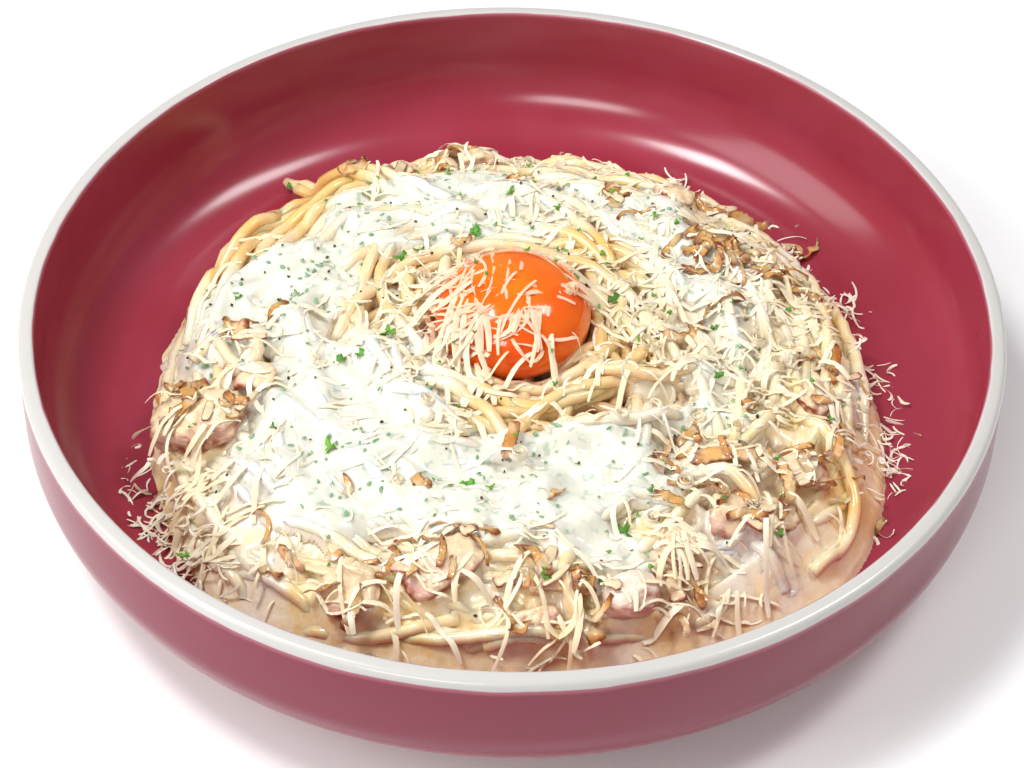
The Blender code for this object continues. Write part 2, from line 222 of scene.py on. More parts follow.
@dataclass(frozen=True)
class GlazedStoneware(Finish):
    """Stoneware, turned and dipped in glaze: deep rose that pools darker, and bare white glaze on the lip."""

    name: str = "glazed_stoneware"
    base: str = "#962E3E"
    coats: Coats = (("#9B3447", Pattern(30, (0.38, 0.62), detail=4)),)
    relief: Pattern = Pattern(24, detail=1)
    relief_mm: float = 0.05
    roughness: float = 0.2
    ior: float = 1.47
    coat: float = 0.07
    coat_roughness: float = 0.12
    lip_z: float = 42.05 * MM
    lip_slope: float = 0.62
    lip_wave: float = 1.1 * MM
    rim_radius: float = 110 * MM
    # The outer wall's rose is a darker copy of the same glaze: painted shade against the fill light that it
    # gets.
    outside: str = "#7D1C36"
    thin: str = "#AD5F70"
    white: str = "#C7C4C0"

    def colour(self, tree: Tree, place: Socket) -> Socket:
        """The glaze breaks from rose to white along a slightly wavy line just under the lip.

        Args:
            tree: the material's nodes.
            place: the object coordinates, in metres.

        Returns:
            The colour's socket.
        """
        x, y, z = (add_node(tree, "SeparateXYZ", {0: place}, out=axis) for axis in "XYZ")
        flat = add_node(tree, "CombineXYZ", {"X": x, "Y": y})
        radius = add_node(tree, "VectorMath", {0: flat}, out="Value", operation="LENGTH")
        inward = add_node(tree, "Math", {0: self.rim_radius, 1: radius}, operation="SUBTRACT")
        level = add_node(tree, "Math", {0: inward, 1: -self.lip_slope, 2: z}, operation="MULTIPLY_ADD")
        wave = Pattern(14).noise(tree, place)
        level = add_node(tree, "Math", {0: wave, 1: self.lip_wave, 2: level}, operation="MULTIPLY_ADD")
        body = super().colour(tree, place)
        # Each colour shows where a value passes from the first distance to the second, up to its share.
        steps = (
            # The outer wall takes the darker rose, which is painted shade.
            (self.outside, radius, self.rim_radius - 3 * MM, self.rim_radius - 1 * MM, 1.0),
            (self.thin, level, self.lip_z - 1.6 * MM, self.lip_z, 0.8),
            (self.white, level, self.lip_z - 0.1 * MM, self.lip_z + 0.4 * MM, 1.0),
        )
        for colour, value, low, high, most in steps:
            cut = {"Value": value, "From Min": low, "From Max": high, "To Max": most}
            share = add_node(tree, "MapRange", cut, interpolation_type="SMOOTHSTEP")
            body = add_node(tree, "Mix", {0: share, 6: body, 7: colour}, out=2, data_type="RGBA")
        return body


def sauced(pasta: str) -> Coats:
    """What lies over sauced food: pale streaks, pasta where the sauce is thin, cream, and brown painted shade
    in deep gaps.

    Args:
        pasta: the colour of the pasta where it shows.

    Returns:
        The coats, from the lowest up.
    """
    return (
        ("#F6E3B4", Pattern(5, (0.4, 0.62), detail=4, distortion=0.6)),
        ("#F9EDCF", Pattern(7, (0.52, 0.68), 0.6, detail=3, distortion=2.2)),
        (pasta, Pattern(paint="bare")),
        ("#F3F2EC", Pattern(paint="milky")),
        # Painted shade: brown where the food lies deep below what is round it, and in the shaded gaps.
        ("#8A4E14", Pattern(paint="deep")),
    )


@dataclass(frozen=True)
class CreamSauce(Finish):
    """Egg and cream sauce, stirred over heat until it coats: beige, glossy and a little see-through."""

    name: str = "cream_sauce"
    base: str = "#F3D390"
    coats: Coats = sauced("#E3B769")
    relief: Pattern = Pattern(2.2, detail=3)
    relief_mm: float = 0.3
    roughness: float = 0.28
    uneven: float = 0.12
    scatter: float = 0.55
    scatter_mm: Triple = (1.2, 1.1, 0.8)
    coat: float = 0.7
    coat_roughness: float = 0.08


@dataclass(frozen=True)
class BoiledPasta(CreamSauce):
    """Durum wheat spaghetti, extruded and boiled: smooth and warm yellow, under a film of the same sauce."""

    name: str = "boiled_spaghetti"
    coats: Coats = sauced("#EABB66")
    relief_mm: float = 0.04
    scatter: float = 0.7
    scatter_mm: Triple = (1.8, 1.1, 0.45)


@dataclass(frozen=True)
class HerbedCream(Finish):
    """Soured cream whisked with chopped dill, spooned on: white, wet, with blurred green under its skin."""

    name: str = "herbed_cream"
    base: str = "#E1E0D1"
    coats: Coats = (
        ("#EAE9DC", Pattern(6, (0.35, 0.65), detail=3)),
        ("#EADCC4", Pattern(paint="thin")),
        ("#8DAF95", Pattern(2.4, (0.61, 0.72), 0.45, detail=1)),
    )
    relief: Pattern = Pattern(1.8, detail=3)
    relief_mm: float = 0.12
    roughness: float = 0.24
    scatter: float = 0.8
    scatter_mm: Triple = (1.1, 1.05, 0.9)
    coat: float = 0.4
    coat_roughness: float = 0.12


@dataclass(frozen=True)
class HardCheese(Finish):
    """Aged hard cheese, grated: dry, crumbly straw shreds, painted warmer by the yolk's glow where they lie
    on it.
    """

    name: str = "grated_hard_cheese"
    base: str = "#F6EEDA"
    # The warm coat is painted light: the yolk's orange glow through the thin shreds on it.
    coats: Coats = (("#F1DCB0", Pattern(paint="tint")), ("#FFC2A0", Pattern(paint="warm")))
    relief: Pattern = Pattern(0.5, detail=3)
    relief_mm: float = 0.04
    roughness: float = 0.38
    scatter: float = 0.25
    scatter_mm: Triple = (0.2, 0.18, 0.14)


FAT_STREAKS = ("#E8CCB2", Pattern(4.2, (0.42, 0.64), detail=3, distortion=0.8, stretch=(1.0, 1.7, 2.4)))


@dataclass(frozen=True)
class SmokedBacon(Finish):
    """Smoked bacon, sliced and pan fried: lean and fat in streaks, browned edges, and sauce on its top."""

    name: str = "smoked_bacon"
    base: str = "#CE9585"
    coats: Coats = (
        FAT_STREAKS,
        ("#A05A2C", Pattern(2.2, (1.1, 1.4), paint="crisp", detail=3)),
        ("#7E3220", Pattern(1.7, (1.25, 1.5), paint="crisp", detail=3)),
        ("#EDD5AC", Pattern(12, (0.56, 0.72), 0.9, upward=0.3)),
    )
    relief: Pattern = Pattern(0.9, detail=4, stretch=(1.0, 1.7, 2.4))
    relief_mm: float = 0.15
    roughness: float = 0.3
    scatter: float = 0.5
    scatter_mm: Triple = (1.8, 0.9, 0.6)
    coat: float = 0.4


@dataclass(frozen=True)
class CreamedBacon(SmokedBacon):
    """The same bacon where the cream ran over it: white above, and less browned."""

    name: str = "creamed_bacon"
    coats: Coats = (
        FAT_STREAKS,
        ("#BA7765", Pattern(2.2, (1.1, 1.4), paint="crisp", detail=3)),
        ("#EFE3D0", Pattern(12, (0.56, 0.72), 0.9, upward=0.3)),
    )


@dataclass(frozen=True)
class FriedOnion(Finish):
    """Onion, sliced thin and fried crisp: amber, darkest at its thin edges, with some sauce on it."""

    name: str = "fried_onion"
    base: str = "#E9B470"
    coats: Coats = (
        ("#C2833E", Pattern(paint="tint")),
        ("#743A1C", Pattern(1.5, (0.75, 1.3), paint="crisp", detail=3)),
        ("#F0DDBC", Pattern(5, (0.5, 0.62), 0.4)),
    )
    relief: Pattern = Pattern(0.7, detail=3)
    relief_mm: float = 0.15
    roughness: float = 0.34
    scatter: float = 0.5
    scatter_mm: Triple = (1.4, 0.7, 0.25)
    coat: float = 0.6


@dataclass(frozen=True)
class RawYolk(Finish):
    """A raw hen's egg yolk in its taut skin: deep orange and wet, with light going well into it."""

    name: str = "raw_yolk"
    base: str = "#F4580A"
    coats: Coats = (("#FF7C14", Pattern(14, (0.35, 0.65))),)
    relief: Pattern = Pattern(7, detail=1)
    relief_mm: float = 0.08
    roughness: float = 0.14
    ior: float = 1.38
    scatter: float = 0.7
    scatter_mm: Triple = (4.0, 1.3, 0.25)
    coat: float = 0.5
    coat_roughness: float = 0.06


@dataclass(frozen=True)
class ChoppedParsley(Finish):
    """Fresh parsley, chopped: bright to dark green leaf, chip by chip, with a soft waxy gloss."""

    name: str = "chopped_parsley"
    base: str = "#2F6A20"
    coats: Coats = (("#6DAE38", Pattern(paint="tint")),)
    relief: Pattern = Pattern(0.6, detail=3)
    roughness: float = 0.42
    scatter: float = 0.2
    scatter_mm: Triple = (0.3, 0.5, 0.1)


@dataclass(frozen=True)
class ChoppedDill(ChoppedParsley):
    """Fine dill under a film of cream, which greys its green."""

    name: str = "chopped_dill"
    base: str = "#649468"
    coats: Coats = (("#A3C4A4", Pattern(paint="tint")),)


@dataclass(frozen=True)
class GroundPepper(Finish):
    """Black peppercorns, coarsely ground: near-black husk, and some tan from the inside."""

    name: str = "ground_pepper"
    base: str = "#2A211B"
    coats: Coats = (("#7A6348", Pattern(paint="tint")),)
    relief: Pattern = Pattern(0.4)
    relief_mm: float = 0.05
    roughness: float = 0.6


@dataclass(frozen=True)
class PaperSweep(Finish):
    """Matt white background paper, whose grain is too faint to see, so that the floor stays plain."""

    name: str = "background_paper"
    base: str = "#F7F7F6"
    coats: Coats = (("#FBFBFB", Pattern(40)),)
    relief_mm: float = 0.02
    roughness: float = 0.9


# ---------------------------------------------------------------- mesh tools


def headed(angle: Array) -> Array:
    """Unit steps in some directions, given in radians, one row each."""
    return np.stack([np.cos(angle), np.sin(angle)], axis=-1)


class Section(Enum):
    """Cross-sections that a swept body can have, each with its number of sides."""

    ROUND = 8
    PILL = 6

    def ring(self) -> Array:
        """The outline's points, anticlockwise, each from -1 to 1 across and up.

        Returns:
            The points, one row each.
        """
        points = headed(np.arange(self.value) * 2 * math.pi / self.value)
        return points if self is Section.ROUND else np.sign(points) * np.abs(points) ** 0.7


def points_of(mesh: bpy.types.Mesh, values: str = "co") -> Array:
    """The places, or the normals, of a mesh's points, one row each.

    Args:
        mesh: the mesh.
        values: co for places, or normal.

    Returns:
        The values, one row for each point.
    """
    found = np.empty(len(mesh.vertices) * 3, np.float32)
    mesh.vertices.foreach_get(values, found)
    return found.reshape(-1, 3).astype(float)


def move_points(mesh: bpy.types.Mesh, places: Array) -> None:
    """Moves a mesh's points, one row each."""
    mesh.vertices.foreach_set("co", places.astype(np.float32).ravel())


def paint_points(mesh: bpy.types.Mesh, **paint: Array) -> None:
    """Stores numbers at a mesh's points, for its finish to read by name."""
    for name, values in paint.items():
        mesh.attributes.new(name, "FLOAT", "POINT").data.foreach_set("value", values.astype(np.float32))


def put(name: str, data: bpy.types.ID) -> bpy.types.Object:
    """Puts a new object in the scene: a mesh, a light or a camera.

    Args:
        name: the object's name.
        data: what it shows.

    Returns:
        The object.
    """
    made = bpy.data.objects.new(name, data)
    bpy.context.scene.collection.objects.link(made)
    return made


def baked(source: bpy.types.Object, name: str) -> bpy.types.Object:
    """A new object with the source's modifiers applied; the source is removed.

    Args:
        source: the object with modifiers.
        name: the new object's name.

    Returns:
        The new object.
    """
    bpy.context.view_layer.update()
    mesh = bpy.data.meshes.new_from_object(source.evaluated_get(bpy.context.evaluated_depsgraph_get()))
    bpy.data.objects.remove(source)
    return put(name, mesh)


def finish_piece(piece: bpy.types.Object, finish: Finish, slot: str, *nodes: str) -> None:
    """Gives a piece its finish, lets it ride on the body and reports it.

    Args:
        piece: the object.
        finish: its finish.
        slot: not used.
        nodes: the CAD nodes that it replaces.
    """
    piece.data.materials.append(finish.make())
    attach(piece, BODY)
    if nodes:
        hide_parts(*nodes)
    LOG.info("%s: %d faces", piece.name, len(piece.data.polygons))


@dataclass
class Batch:
    """Gathers many small closed bodies, and numbers at their points, into one mesh object."""

    points: list[Array] = field(default_factory=list)
    loops: list[Array] = field(default_factory=list)
    sizes: list[Array] = field(default_factory=list)
    paint: dict[str, list[Array]] = field(default_factory=dict)
    count: int = 0

    def add(self, points: Array, faces: Iterable[Array], **paint: Array | float) -> None:
        """Adds one body.

        Args:
            points: its points, one row each.
            faces: arrays of faces, each array with one face size.
            paint: numbers per point, or one number for the whole body.
        """
        for group in faces:
            self.loops.append((group + self.count).ravel())
            self.sizes.append(np.full(len(group), group.shape[1]))
        for name, value in paint.items():
            self.paint.setdefault(name, []).append(np.broadcast_to(np.asarray(value, float), len(points)))
        self.points.append(points)
        self.count += len(points)

    def build(self, name: str, finish: Finish, slot: str, *nodes: str, sharp_degrees: float = 180.0) -> None:
        """Makes the piece.

        Args:
            name: the piece's name.
            finish: its finish.
            slot: its colour slot, or nothing.
            nodes: the CAD nodes that it replaces.
            sharp_degrees: edges sharper than this stay crisp.
        """
        mesh = bpy.data.meshes.new(name)
        loops, sizes = np.concatenate(self.loops), np.concatenate(self.sizes)
        mesh.vertices.add(self.count)
        move_points(mesh, np.concatenate(self.points))
        mesh.loops.add(len(loops))
        mesh.loops.foreach_set("vertex_index", loops.astype(np.int32))
        mesh.polygons.add(len(sizes))
        mesh.polygons.foreach_set("loop_start", (np.cumsum(sizes) - sizes).astype(np.int32))
        mesh.update(calc_edges=True)
        paint_points(mesh, **{name: np.concatenate(values) for name, values in self.paint.items()})
        mesh.shade_smooth()
        if sharp_degrees < 180:
            mesh.set_sharp_from_angle(angle=math.radians(sharp_degrees))
        finish_piece(put(name, mesh), finish, slot, *nodes)


def sweep(
    path: Array, section: Section, width: Array | float, height: Array | float, roll: Array | float = 0.0
) -> tuple[Array, list[Array]]:
    """A closed body along a path.

    Args:
        path: the points of its middle line.
        section: the shape of its cross-section.
        width: its half width at each point.
        height: its half height at each point.
        roll: its turn about the path at each point, in radians.

    Returns:
        The points, and the faces as an array of quads and one of end caps.
    """
    count = len(path)
    along = np.gradient(path, axis=0)
    side = np.cross(along, (0.0, 0.0, 1.0)) + (1e-9, 0.0, 0.0)
    side /= np.linalg.norm(side, axis=1, keepdims=True)
    lift = np.cross(side, along)
    lift /= np.linalg.norm(lift, axis=1, keepdims=True)
    turn = np.broadcast_to(np.asarray(roll, float), count)[:, None]
    across = (np.cos(turn) * side + np.sin(turn) * lift) * np.broadcast_to(width, count)[:, None]
    upward = (np.cos(turn) * lift - np.sin(turn) * side) * np.broadcast_to(height, count)[:, None]
    ring = section.ring()
    sides = len(ring)
    points = path[:, None] + ring[None, :, :1] * across[:, None] + ring[None, :, 1:] * upward[:, None]
    row = np.arange(count - 1)[:, None] * sides
    column = np.arange(sides)[None, :]
    after = (column + 1) % sides
    quads = np.stack([row + column, row + sides + column, row + sides + after, row + after], axis=-1)
    caps = np.concatenate([column, column[:, ::-1] + (count - 1) * sides])
    return points.reshape(-1, 3), [quads.reshape(-1, 4), caps]


def ease(value: Array | float) -> Array:
    """Eases from 0 to 1, and holds outside that range."""
    share = np.clip(value, 0.0, 1.0)
    return share * share * (3 - 2 * share)


def stiff(resting: Array, step: float, bend_radius: float) -> Array:
    """The heights of a line that rests on others and bends down no tighter than a radius.

    Args:
        resting: how high each of its points would rest.
        step: the distance between them.
        bend_radius: that radius.

    Returns:
        The heights.
    """
    gap = (np.arange(len(resting))[:, None] - np.arange(len(resting))[None, :]) * step
    return (resting[None, :] - gap**2 / (2 * bend_radius)).max(axis=1)


def curve_through(points: Rows, step: float) -> Array:
    """A smooth path through a few points given in millimetres, read every step metres.

    Args:
        points: the points.
        step: the distance between the points of the path.

    Returns:
        The path, one row for each point.
    """
    knots = np.array(list(points), float) * MM
    knots = np.concatenate([2 * knots[:1] - knots[1:2], knots, 2 * knots[-1:] - knots[-2:-1]])
    share = np.linspace(0, 1, 24, endpoint=False)[:, None]
    parts = []
    for a, b, c, d in zip(knots, knots[1:], knots[2:], knots[3:]):
        bend = 2 * a - 5 * b + 4 * c - d + share * (3 * (b - c) + d - a)
        parts.append(b + share / 2 * (c - a + share * bend))
    fine = np.concatenate([*parts, knots[-2:-1]])
    length = np.concatenate([[0], np.cumsum(np.linalg.norm(np.diff(fine, axis=0), axis=1))])
    stops = np.linspace(0, length[-1], max(4, int(length[-1] / step) + 1))
    return np.stack([np.interp(stops, length, fine[:, axis]) for axis in range(fine.shape[1])], axis=1)


# ---------------------------------------------------------------- height maps of the food


class Relief:
    """Maps of the food over the bowl's plan, on a square grid, and what can be done with them."""

    def __init__(self, half: float, cell: float) -> None:
        """Sets up the grid.

        Args:
            half: half the width that it covers.
            cell: the distance between its points.
        """
        self.half, self.cell = half, cell
        self.size = int(round(2 * half / cell)) + 1
        axis = (np.arange(self.size) - (self.size - 1) / 2) * cell
        self.x, self.y = np.meshgrid(axis, axis, indexing="ij")
        self.radius = np.hypot(self.x, self.y)
        self.waves = np.fft.fftfreq(self.size)[:, None] ** 2 + np.fft.rfftfreq(self.size)[None, :] ** 2
        self.rng = np.random.default_rng(11)

    def blur(self, heights: Array, spread: float) -> Array:
        """Smooths a map with a Gaussian of this standard deviation."""
        keep = np.exp(-2 * (math.pi * spread / self.cell) ** 2 * self.waves)
        return np.fft.irfft2(np.fft.rfft2(heights) * keep, s=heights.shape)

    def lumps(self, size: float) -> Array:
        """Random soft lumps about this wide, with a mean of 0 and a standard deviation of 1."""
        raw = self.blur(self.rng.standard_normal(self.radius.shape), size / 3)
        return (raw - raw.mean()) / raw.std()

    def spots(self, places: Rows) -> Array:
        """The sum of soft round spots.

        Args:
            places: x, y and spread of each in millimetres, and its weight where it isn't 1.

        Returns:
            The map.
        """
        total = np.zeros_like(self.radius)
        for x, y, spread, *weight in places:
            away = (self.x - x * MM) ** 2 + (self.y - y * MM) ** 2
            total += (weight or [1.0])[0] * np.exp(-away / (2 * (spread * MM) ** 2))
        return total

    def cells(self, x: Array | float, y: Array | float) -> tuple[Array, Array]:
        """The grid cells nearest to some places.

        Args:
            x: the places' first coordinates.
            y: their second coordinates.

        Returns:
            The cells' indices along x and along y.
        """
        column = np.clip(np.rint((np.asarray(x) + self.half) / self.cell).astype(int), 0, self.size - 1)
        row = np.clip(np.rint((np.asarray(y) + self.half) / self.cell).astype(int), 0, self.size - 1)
        return column, row

    def read(self, heights: Array, places: Array) -> Array:
        """Reads a map between its points, at places whose last axis starts with x and y.

        Args:
            heights: the map.
            places: the places.

        Returns:
            The value at each place.
        """
        exact = np.clip((places[..., :2] + self.half) / self.cell, 0, self.size - 1.001)
        column, row = exact[..., 0], exact[..., 1]
        i, j = column.astype(int), row.astype(int)
        u, v = column - i, row - j
        near = heights[i, j] * (1 - v) + heights[i, j + 1] * v
        far = heights[i + 1, j] * (1 - v) + heights[i + 1, j + 1] * v
        return near * (1 - u) + far * u

    def disc(self, radius: float) -> tuple[Array, Array, Array]:
        """Cell offsets in a disc, and half the height of a ball over each.

        Args:
            radius: the radius of the disc and of the ball.

        Returns:
            The offsets along x and along y, and the heights.
        """
        steps = np.arange(-int(radius / self.cell), int(radius / self.cell) + 1)
        dx, dy = (part.ravel() for part in np.meshgrid(steps, steps, indexing="ij"))
        inside = (dx**2 + dy**2) * self.cell**2 <= radius**2
        dx, dy = dx[inside], dy[inside]
        return dx, dy, np.sqrt(radius**2 - (dx**2 + dy**2) * self.cell**2)

    def around(self, path: Array, dx: Array, dy: Array) -> tuple[Array, Array]:
        """The cells at some offsets from each point of a path.

        Args:
            path: the points.
            dx: offsets along x.
            dy: offsets along y.

        Returns:
            The cells' indices: a row for each point, a column for each offset.
        """
        column, row = self.cells(path[:, 0], path[:, 1])
        limit = self.size - 1
        return np.clip(column[:, None] + dx, 0, limit), np.clip(row[:, None] + dy, 0, limit)

    def support(self, heights: Array, path: Array, radius: float) -> Array:
        """How high the middle of a ball of this radius lies when it rests at each point of a path."""
        dx, dy, lift = self.disc(radius)
        return (heights[self.around(path, dx, dy)] + lift).max(axis=1)

    def raise_to(self, heights: Array, path: Array, radius: float, height: float | None = None) -> None:
        """Raises a map to the top of a tube or, with a half height, of a ribbon along a path.

        Args:
            heights: the map, which is changed.
            path: the middle line.
            radius: the tube's radius, or half the ribbon's width.
            height: half the ribbon's thickness.
        """
        dx, dy, lift = self.disc(radius)
        lift = lift if height is None else np.full(len(dx), height)
        np.maximum.at(heights, self.around(path, dx, dy), path[:, 2][:, None] + lift)

    def eroded(self, heights: Array, radius: float) -> Array:
        """What is left of the form under a map when a ball of this radius is taken off it all over.

        Args:
            heights: the map.
            radius: the radius of the ball.

        Returns:
            The new map.
        """
        left = heights.copy()
        for i, j, lift in zip(*self.disc(radius)):
            np.minimum(left, np.roll(heights, (i, j), (0, 1)) - lift, out=left)
        return left

    def look_down(self, names: Iterable[str], missing: float, from_below: bool = False) -> Array:
        """Reads how high CAD nodes reach over the grid.

        Args:
            names: the nodes.
            missing: the height where there is none of them.
            from_below: read their undersides instead.

        Returns:
            The map of heights.
        """
        found = np.full(self.radius.shape, missing)
        start, ray = (BELOW_ALL, Vector((0, 0, 1))) if from_below else (ABOVE_ALL, Vector((0, 0, -1)))
        better = min if from_below else max
        for name in names:
            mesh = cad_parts[name].data
            faces = [tuple(face.vertices) for face in mesh.polygons]
            tree = BVHTree.FromPolygons([point.co for point in mesh.vertices], faces)
            low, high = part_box(name)
            (i0, j0), (i1, j1) = self.cells(low[0], low[1]), self.cells(high[0], high[1])
            for i in range(int(i0), int(i1) + 1):
                for j in range(int(j0), int(j1) + 1):
                    hit = tree.ray_cast(Vector((self.x[i, j], self.y[i, j], start)), ray)[0]
                    if hit:
                        old = found[i, j]
                        found[i, j] = hit.z if old == missing else better(old, hit.z)
        return found

    def main_area(self, mask: Array, start: tuple[float, float]) -> Array:
        """The part of a mask that is joined to a start place, with its holes filled."""
        kept = self.flood(mask, start)
        return ~self.flood(~kept, (-self.half, -self.half))

    def flood(self, mask: Array, start: tuple[float, float]) -> Array:
        """The part of a mask that is joined to a start place.

        Args:
            mask: the mask.
            start: the place.

        Returns:
            The mask of that part.
        """
        seed = tuple(int(part) for part in self.cells(*start))
        reached = np.zeros(mask.shape, bool)
        reached[seed] = mask[seed]
        count = 0
        while reached.sum() != count:
            count = reached.sum()
            for _ in range(8):
                spread = reached.copy()
                for axis in (0, 1):
                    for step in (1, -1):
                        spread |= np.roll(reached, step, axis)
                reached = spread & mask
        return reached

    @staticmethod
    def corners(grid: Array) -> tuple[Array, Array, Array, Array]:
        """A grid's values at the four corners of each of its cells, anticlockwise."""
        return grid[:-1, :-1], grid[1:, :-1], grid[1:, 1:], grid[:-1, 1:]

    def sheet(
        self, top: Array, bottom: Array, mask: Array, outline: tuple[Array, float], **paint: Array
    ) -> tuple[Array, list[Array], dict[str, Array]]:
        """The closed body between two maps.

        Args:
            top: heights of its upper side.
            bottom: heights of its lower side.
            mask: the points that it covers.
            outline: a map that falls outwards, and its value where the border is drawn.
            paint: numbers per grid point.

        Returns:
            The points, the faces, and the numbers per point.
        """
        cell = np.logical_and.reduce(self.corners(mask))
        used = np.zeros(mask.shape, bool)
        for i in (0, 1):
            for j in (0, 1):
                used[i : self.size - 1 + i, j : self.size - 1 + j] |= cell
        index = np.full(mask.shape, -1)
        index[used] = np.arange(used.sum())
        count = int(used.sum())
        corners = self.corners(index)
        upper = np.stack([corner[cell] for corner in corners], axis=1)
        faces = [upper, upper[:, ::-1] + count]
        padded = np.pad(cell, 1)
        for a, b, i, j in ((0, 1, 0, -1), (1, 2, 1, 0), (2, 3, 0, 1), (3, 0, -1, 0)):
            beside = padded[1 + i : self.size + i, 1 + j : self.size + j]
            edge = cell & ~beside
            first, second = corners[a][edge], corners[b][edge]
            faces.append(np.stack([second, first, first + count, second + count], axis=1))
        border = np.zeros_like(used)
        for i in ((0, 1), (1, 0)):
            for j in ((0, 1), (1, 0)):
                border |= used & ~np.pad(cell, (i, j))
        fall_x, fall_y = np.gradient(outline[0], self.cell)
        steep = np.sqrt(fall_x**2 + fall_y**2 + 1e-9)
        limit = 0.7 * self.cell
        away = np.clip((outline[1] - outline[0]) / steep, -limit, limit) * border
        x = self.x + away * fall_x / steep
        y = self.y + away * fall_y / steep
        flat = np.stack([x[used], y[used]], axis=1)
        points = np.concatenate([np.column_stack([flat, top[used]]), np.column_stack([flat, bottom[used]])])
        doubled = {name: np.tile(value[used], 2) for name, value in paint.items()}
        return points, faces, doubled


# ---------------------------------------------------------------- the bowl


@dataclass
class Bowl:
    """The wide low bowl: a turned stoneware profile with an upright wall, a round corner and a foot ring."""

    lip_width: float = 3.8 * MM
    lip_drop: float = 1.4 * MM
    outside_upright: float = 15.5 * MM
    outside_corner: float = 17.7 * MM
    inside_depth: float = 31.5 * MM
    inside_corner: float = 17.5 * MM
    foot_radius: float = 66 * MM
    foot_width: float = 3.4 * MM
    foot_height: float = 4.6 * MM
    underside_rise: float = 2.4 * MM
    steps: int = 240
    finish: Finish = GlazedStoneware()

    def __post_init__(self) -> None:
        """Reads the rim from the CAD bowl."""
        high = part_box("bowl")[1]
        self.rim_radius, self.height = high.x, high.z
        self.floor = self.height - self.inside_depth

    def corners(self) -> list[Triple]:
        """The section's corners from the inside of the lip outwards: radius, height and fillet radius.

        Returns:
            The corners, in order round the section.
        """
        inside = self.rim_radius - self.lip_width
        bottom = self.height - self.lip_drop - self.outside_upright - self.outside_corner
        foot_top = bottom - self.underside_rise
        foot_inside = self.foot_radius - self.foot_width
        return [
            (inside, self.height + 0.1 * MM, 0.9 * MM),
            (self.rim_radius, self.height - 0.5 * MM, 1.5 * MM),
            (self.rim_radius, bottom, self.outside_corner - 0.1 * MM),
            (self.rim_radius - self.outside_corner, bottom, 0),
            (self.foot_radius, foot_top, 1.2 * MM),
            (self.foot_radius - 0.8 * MM, 0.0, 0.5 * MM),
            (foot_inside, 0.0, 0.5 * MM),
            (foot_inside - 1.2 * MM, self.foot_height, 1.2 * MM),
            (0.0, self.foot_height + 1.2 * MM, 0),
            (0.0, self.floor, 0),
            (inside, self.floor, self.inside_corner),
        ]

    def profile(self) -> list[tuple[float, float]]:
        """The section with its corners rounded.

        Returns:
            Radius and height of each point.
        """
        corners = self.corners()
        points = []
        for k, (r, z, fillet) in enumerate(corners):
            if not fillet:
                points.append((r, z))
                continue
            corner = Vector((r, z))
            before = (Vector(corners[k - 1][:2]) - corner).normalized()
            after = (Vector(corners[(k + 1) % len(corners)][:2]) - corner).normalized()
            half = before.angle(after) / 2
            centre = corner + (before + after).normalized() * fillet / math.sin(half)
            first = corner + before * fillet / math.tan(half) - centre
            turn = first.angle_signed(corner + after * fillet / math.tan(half) - centre)
            steps = 5 if fillet < 3 * MM else 18
            for step in range(steps + 1):
                angle = -turn * step / steps
                spot = centre + Matrix.Rotation(angle, 2) @ first
                points.append((spot.x, spot.y))
        return points

    def build(self) -> None:
        """Turns the profile."""
        points = self.profile()
        axis = next(k for k, (r, _) in enumerate(points) if r == 0)
        edges = [(k, (k + 1) % len(points)) for k in range(len(points)) if k != axis]
        mesh = bpy.data.meshes.new("turning_profile")
        mesh.from_pydata([(r, 0.0, z) for r, z in points], edges, [])
        turned = put("turning_profile", mesh)
        screw = turned.modifiers.new("turn", "SCREW")
        screw.steps = screw.render_steps = self.steps
        screw.use_merge_vertices = True
        screw.merge_threshold = 1e-5
        screw.use_normal_calculate = True
        bowl = baked(turned, "stoneware_bowl")
        bowl.data.shade_smooth()
        bowl.data.set_sharp_from_angle(angle=math.radians(50))
        finish_piece(bowl, self.finish, "bowl_glaze", "bowl")


# ---------------------------------------------------------------- layers of the food


BACON_NODES = sorted(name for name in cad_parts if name.startswith("bacon"))
ONION_NODES = sorted(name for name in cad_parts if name.startswith("onion"))
CREAM_NODES = sorted(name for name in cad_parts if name.startswith("cream"))
CREAMED_CHUNK = "bacon_chunk_2"

# How far out most loose bits lie, how far the heap reaches, and how far the flat of the bowl does.
LOOSE_RADIUS = 76 * MM
HEAP_RADIUS = 80 * MM
FLOOR_RADIUS = 93 * MM

# Soft round areas seen from above: x, y and spread in millimetres, and how strongly each counts where not 1.
# Gaps that the strands keep out of and the sauce sinks into; the food in them gets painted shade.
SHADED_GAPS = (
    (-19, 21, 2.6), (18, -24, 3.2), (24, -20, 2.6), (-30, -60, 2.4), (24, -44, 2.4), (-11, -62, 2.2),
    (59, -30, 2.2), (-44, 63, 2.2), (-52, 55, 2.0),
)
BARE_PASTA = (
    (-62, 39, 9), (-47, 58, 8), (-32, 31, 7), (-23, 10, 7), (20, -18, 8), (31, -11, 7), (20, 2, 7),
    (13, -33, 6), (-39, 10, 7), (-6, -22, 7), (2, -28, 5), (18, 28, 7), (-64, -7, 7), (75, -35, 5),
    (49, -45, 5), (14, -69, 4), (-46, 66, 6),
)
SMOOTH_SAUCE = (
    (39, -66, 9), (50, -60, 7), (24, -78, 7), (52, -50, 6), (2, -80, 8), (-62, -48, 7, 0.6),
    (-70, -34, 5, 0.5), (-50, -62, 6, 0.5), (50, 10, 15, 0.6), (45, 35, 12, 0.5), (12, 60, 12, 0.4),
)
